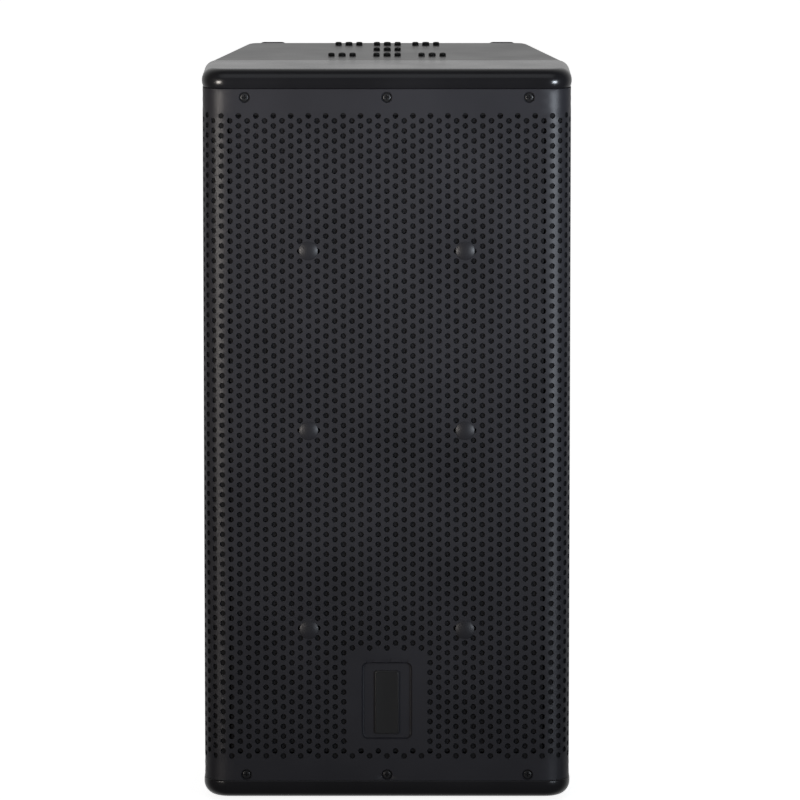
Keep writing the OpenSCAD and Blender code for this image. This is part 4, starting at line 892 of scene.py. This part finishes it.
plate_black = finish("plate polypropylene", (0.014, 0.014, 0.015), 0.45, 0.9, 0.02, mottle=0.18,
                     cells=1.0)
socket_x, socket_hole_r = 42.0, 14.8
floor_cuts = [post(s * socket_x, 0, socket_hole_r, -30, -20) for s in (-1, 1)]
floor_cuts += [upright([[-7, -11], [7, -11], [7, 11], [-7, 11]], -30, -20)]
plate = dish(input_w, input_h, input_corner, input_deep, 1.6, 186, 126, 12, plate_t, cup_wall)
bored("input_dish", on_back(plate), [on_back(cut) for cut in floor_cuts], plate_black,
      "plate_plastic", ["input_plate"])

# The inlet's shell runs from its back, over the flange's round boss, down the cavity.
shell = lathe([[0, -20], [14.2, -20], [14.6, -19.6], [14.6, 0.5], [14.6, 3.1], [14.5, 3.35],
               [14.2, 3.5], [13.3, 3.5], [12.9, 3.4], [12.6, 3.0], [12.6, -16.6], [12.2, -17],
               [6.3, -17], [6.0, -16.7], [6.0, -1.6], [5.6, -1.2], [4.6, -1.0], [0, -1.0]], 72)
socket_blue = finish("inlet nylon", (0.018, 0.024, 0.05), 0.34, 0.7, 0.008, mottle=0.2, cells=0.5)
gold = finish("gilt contact", (0.72, 0.5, 0.16), 0.24, 0.3, 0.002, mottle=0.1, metal=1.0)
flange = nested([(38, 38, 4, 0), (38, 38, 4, 2.4), (37.6, 37.6, 3.8, 2.8), (37, 37, 3.5, 3.0)])
key_way = upright([[-1.6, 12], [1.6, 12], [1.6, 14], [-1.6, 14]], -15, 6)
core_slot = [(4.9, -1.0), (6.6, -1.0), (6.6, 1.0), (4.9, 1.0)]
openings = [key_way] + [upright(spun(core_slot, turn), -13, 2) for turn in (45, 135, 225, 315)]
blade, blade_faces = block((-0.4, 6, 0), (0.4, 11, 9))
tabs = gathered([(spun(blade, turn) - [0, 0, 28], blade_faces) for turn in (0, 90, 180, 270)])
for side, word in ((-1, "left"), (1, "right")):
    seat = (side * socket_x, 0, -input_deep)
    bored("inlet_" + word, on_back(shell, seat), [on_back(cut, seat) for cut in openings],
          socket_blue, "socket_plastic", ["input_socket_" + word])
    bored("inlet_flange_" + word, on_back(flange, seat),
          [on_back(post(0, 0, 14.55, -1, 5, 72), seat)], socket_blue, "socket_plastic")
    add_piece("inlet_tabs_" + word, *on_back(tabs, seat), gold, "socket_plastic")

switch_black = finish("switch housing", (0.012, 0.012, 0.0125), 0.28, 0.5, 0.003, mottle=0.15)
bezel = nested([(13.6, 21.6, 1, -18), (13.6, 21.6, 1, 0), (18.6, 26.6, 2, 0), (18.6, 26.6, 2, 1.2),
                (18.2, 26.2, 1.9, 1.7), (17.4, 25.4, 1.7, 2.0), (12.6, 19.4, 1.2, 2.0),
                (11.6, 18.5, 1.0, 1.7), (11.1, 18.1, 0.8, 1.1), (11, 18, 0.8, 0.5),
                (11, 18, 0.8, -12)])
add_piece("switch_bezel", *on_back(bezel, (0, 0, -input_deep)), switch_black, "switch_plastic",
          stands_for=["switch_housing"])


def rocker_shape():
    """Side profile of the key, dished between its two pads, carried across with rolled edges."""
    key_half = 7.8
    y = np.linspace(key_half, -key_half, 25)
    top = 5.5 - 1.25 * (1 - (np.abs(y) / key_half) ** 1.7)
    top[[0, -1]] -= 0.5
    profile = np.concatenate([[[-key_half, 1.5], [key_half, 1.5]], np.column_stack([y, top])])
    rings = []
    for x, inset in ((-5.2, 0.45), (-5.05, 0.15), (-4.7, 0), (4.7, 0), (5.05, 0.15), (5.2, 0.45)):
        shrunk = profile * [1 - inset / key_half, 1 - inset / 2.2] + [0, 3.4 * inset / 2.2]
        rings.append(np.column_stack([np.full(len(shrunk), x), shrunk]))
    return skinned(rings)


rocker_red = finish("rocker key", (0.11, 0.006, 0.006), 0.26, 0.6, 0.003, mottle=0.12)
hub = lathe([[0, -5.2], [2.8, -5.2], [3, -5.0], [3, 5.0], [2.8, 5.2], [0, 5.2]], 40)
pin = lathe([[0, -6.7], [1.5, -6.7], [1.5, 6.7], [0, 6.7]], 24)
points, faces = gathered([rocker_shape()] + [(np.column_stack([p[:, 2], p[:, 1], -p[:, 0]]), f)
                                             for p, f in (hub, pin)])
tilt = math.radians(10)
x, y, z = points.T
lean_y = y * math.cos(tilt) - z * math.sin(tilt)
lean_z = y * math.sin(tilt) + z * math.cos(tilt)
pin_y = back_y - input_deep - 2
add_piece("rocker_key", np.column_stack([x, pin_y + lean_z, input_z - lean_y]), faces, rocker_red,
          "rocker_plastic", "rocker", ["switch_rocker"])

# ---------- rear bumpers, feet and pole socket ----------
# Black rubber bumpers and feet screwed on through recesses, and a moulded top-hat
# socket for a stand's pole.

rubber = finish("bumper rubber", (0.012, 0.012, 0.0125), 0.66, 0.7, 0.012, mottle=0.25, cells=0.7,
                gloss=0.3)
bumper = nested([(32, 34, 7, 0), (32, 34, 7, 6.5)]
                + [(32 - 2 * a, 34 - 2 * a, 7 - a, 6.5 + b) for a, b in quarter(3.5)[1:]])
bumper_cuts = [post(0, 0, 4.2, bumper_seat, 12), post(0, 0, 4.9, 9.5, 12), post(0, 0, 2.1, -1, 6)]
for number, (x, z) in enumerate(bumper_spots):
    bored("bumper_%d" % (number + 1), on_back(bumper, (x, 0, 0), z),
          [on_back(cut, (x, 0, 0), z) for cut in bumper_cuts], rubber, "foot_rubber",
          ["rear_bumpers"] if number == 0 else [])

foot = [[0, foot_seat], [4.4, foot_seat], [4.4, 0.4], [4.8, 0]]
for ring in (7.5, 10.5):
    foot += [[ring - 0.5, 0], [ring - 0.3, 0.35], [ring + 0.3, 0.35], [ring + 0.5, 0]]
foot += [[13.4, 0]]
foot += [[13.4 + 1.3 * math.sin(a), 1.3 * (1 - math.cos(a))] for a in (0.4, 0.8, 1.2, 1.57)]
foot += [[15, 4], [0, 4]]
points, faces = lathe(foot, 64)
add_piece("rubber_feet", *gathered([(points + [x, y, 0], faces) for x, y in foot_spots]), rubber,
          "foot_rubber", stands_for=["feet"])

socket = [[0, 81], [17.3, 81], [17.8, 80.5], [17.8, 2.4], [18.1, 1.7], [18.8, 1.15], [19.6, 1.0],
          [23.4, 1.0], [23.7, 1.4], [24.4, 1.4], [24.7, 1.0], [43.6, 1.0], [44.4, 1.2], [44.9, 1.7],
          [45, 2.4], [45, 4], [20.8, 4], [20.8, 83.4], [20.2, 84], [0, 84]]
points, faces = lathe(socket, 96)
bored("pole_top_hat", (points + [0, pole_y, 0], faces),
      [post(x, y, 4.0, -1, pole_seat) for x, y in pole_spots]
      + [post(x, y, 2.1, 2.5, 5) for x, y in pole_spots], plate_black, "plate_plastic",
      ["pole_socket"])

# ---------- wadding ----------
# Fluffy polyester pads glued inside the back and both sides.


def pad(w, h, t, seed):
    """Cushioned skin: two rippled grids, w by h and up to t thick, meeting at a rolled rim."""
    u = np.sin(np.linspace(-np.pi / 2, np.pi / 2, 60))
    x, y = np.meshgrid(u * w / 2, np.sin(np.linspace(-np.pi / 2, np.pi / 2, 110)) * h / 2)
    edge = np.minimum(w / 2 - np.abs(x), h / 2 - np.abs(y))
    puff = np.sqrt(np.clip(1 - (1 - np.clip(edge / (t * 0.8), 0, 1)) ** 2, 0, 1))
    top = t * (0.5 + 0.5 * puff * (0.93 + 0.06 * ripple(x, y, 22, seed)))
    low = t * (0.5 - 0.5 * puff * (0.97 + 0.02 * ripple(x, y, 26, seed + 1)))
    points, faces, rim = joined_grids((x, y, top), (x, y, low))
    points[rim + x.size] -= [0, 0, t * 0.04]
    return points, faces


fibre = finish("polyester fibre", (0.72, 0.71, 0.68), 0.9, 0.5, 0.15, mottle=0.08, gloss=0.1,
               streak=(1, 3, 0.6), sheen=0.3)
low, high = (np.array(c) * 1000 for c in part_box("wadding_back"))
points, faces = pad(high[0] - low[0], high[2] - low[2], high[1] - low[1], 11)
middle = (low + high) / 2
world = np.column_stack([points[:, 0], high[1] - points[:, 2], middle[2] + points[:, 1]])
back_pad = add_piece("wadding_pad_back", world, faces, fibre, "wadding",
                     stands_for=["wadding_back"])
low, high = (np.array(c) * 1000 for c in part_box("wadding_sides"))
length = (high[1] - low[1]) / math.cos(taper)
middle = (low + high) / 2
side_pad_t, wall_gap = 17.5, 0.4
points, faces = pad(length, high[2] - low[2], side_pad_t, 12)
along, up, inward = points.T
pad_half = box_half - slant_t - wall_gap - (middle[1] - seam_y) * math.tan(taper)
x = pad_half - along * math.sin(taper) - inward * math.cos(taper)
y = middle[1] + along * math.cos(taper) - inward * math.sin(taper)
for side, word in ((-1, "left"), (1, "right")):
    world = np.column_stack([x * side, y, middle[2] + up])
    side_pad = add_piece("wadding_pad_" + word, world, turned_out(faces, side < 0), fibre,
                         "wadding", stands_for=["wadding_sides"] if side < 0 else [])

# ---------- inside: baffle, drivers, crossover and leads ----------
# Plywood baffle and brace, steel and ferrite motors, paper cone, rubber surround, moulded
# horn, and a crossover on a glass-fibre board, each in its own material.

inside = {
    "baffle": finish("baffle paint", (0.02, 0.02, 0.02), 0.8, 0.8, 0.03, cells=0.8),
    "centre_brace": finish("birch plywood", (0.55, 0.4, 0.24), 0.6, 0.6, 0.02, streak=(1, 1, 9)),
    "woofer_frame": finish("basket enamel", (0.018, 0.018, 0.02), 0.38, 0.6, 0.006, cells=0.5),
    "woofer_gasket": finish("foam rubber", (0.012, 0.012, 0.012), 0.85, 0.5, 0.03, cells=1.0,
                            gloss=0.2),
    "surround": finish("butyl rubber", (0.014, 0.014, 0.014), 0.5, 0.5, 0.004, gloss=0.4),
    "cone": finish("coated paper", (0.018, 0.018, 0.019), 0.6, 1.2, 0.03, streak=(1, 1, 3)),
    "voice_coil": finish("copper winding", (0.72, 0.33, 0.17), 0.3, 0.3, 0.02, metal=1,
                         streak=(1, 9, 1)),
    "spider": finish("dipped cotton", (0.5, 0.34, 0.13), 0.75, 0.4, 0.03, cells=0.6),
    "woofer_top_plate": finish("zinc plate", (0.56, 0.56, 0.55), 0.32, 0.5, 0.003, 0.1, metal=1),
    "woofer_magnet": finish("ferrite", (0.05, 0.05, 0.053), 0.55, 0.8, 0.01, cells=0.6),
    "horn": finish("horn plastic", (0.016, 0.016, 0.017), 0.35, 0.6, 0.006, cells=0.5),
    "hf_diaphragm": finish("titanium foil", (0.55, 0.54, 0.53), 0.25, 0.4, 0.002, 0.08, metal=1),
    "hf_rear_cap": finish("cap plastic", (0.012, 0.012, 0.012), 0.3, 0.5, 0.003),
    "port_tubes": finish("port plastic", (0.014, 0.014, 0.015), 0.45, 0.6, 0.008, cells=0.6),
    "crossover_board": finish("glass-fibre board", (0.03, 0.14, 0.06), 0.35, 0.8, 0.004, cells=0.5),
    "crossover_standoffs": finish("natural nylon", (0.7, 0.69, 0.63), 0.4, 0.6, 0.003, 0.05),
    "crossover_capacitors": finish("wrapped film", (0.55, 0.42, 0.05), 0.25, 0.5, 0.002, 0.1),
    "crossover_resistors": finish("ceramic case", (0.72, 0.7, 0.62), 0.8, 0.5, 0.02, 0.06,
                                  cells=0.8),
    "inner_leads": finish("lead insulation", (0.25, 0.012, 0.012), 0.4, 0.5, 0.002, 0.15)}
shares = {
    "woofer_frame": ["grille_braces"],
    "cone": ["dust_cap"],
    "voice_coil": ["crossover_coils"],
    "woofer_top_plate": ["woofer_back_plate", "hf_front_plate", "hf_back_plate", "fly_plates",
                         "baffle_screws"],
    "woofer_magnet": ["hf_magnet"],
    "horn": ["horn_screws", "woofer_screws"]}
for first, shade in inside.items():
    for node in [first] + shares.get(first, []):
        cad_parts[node].data.materials.clear()
        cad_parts[node].data.materials.append(shade)
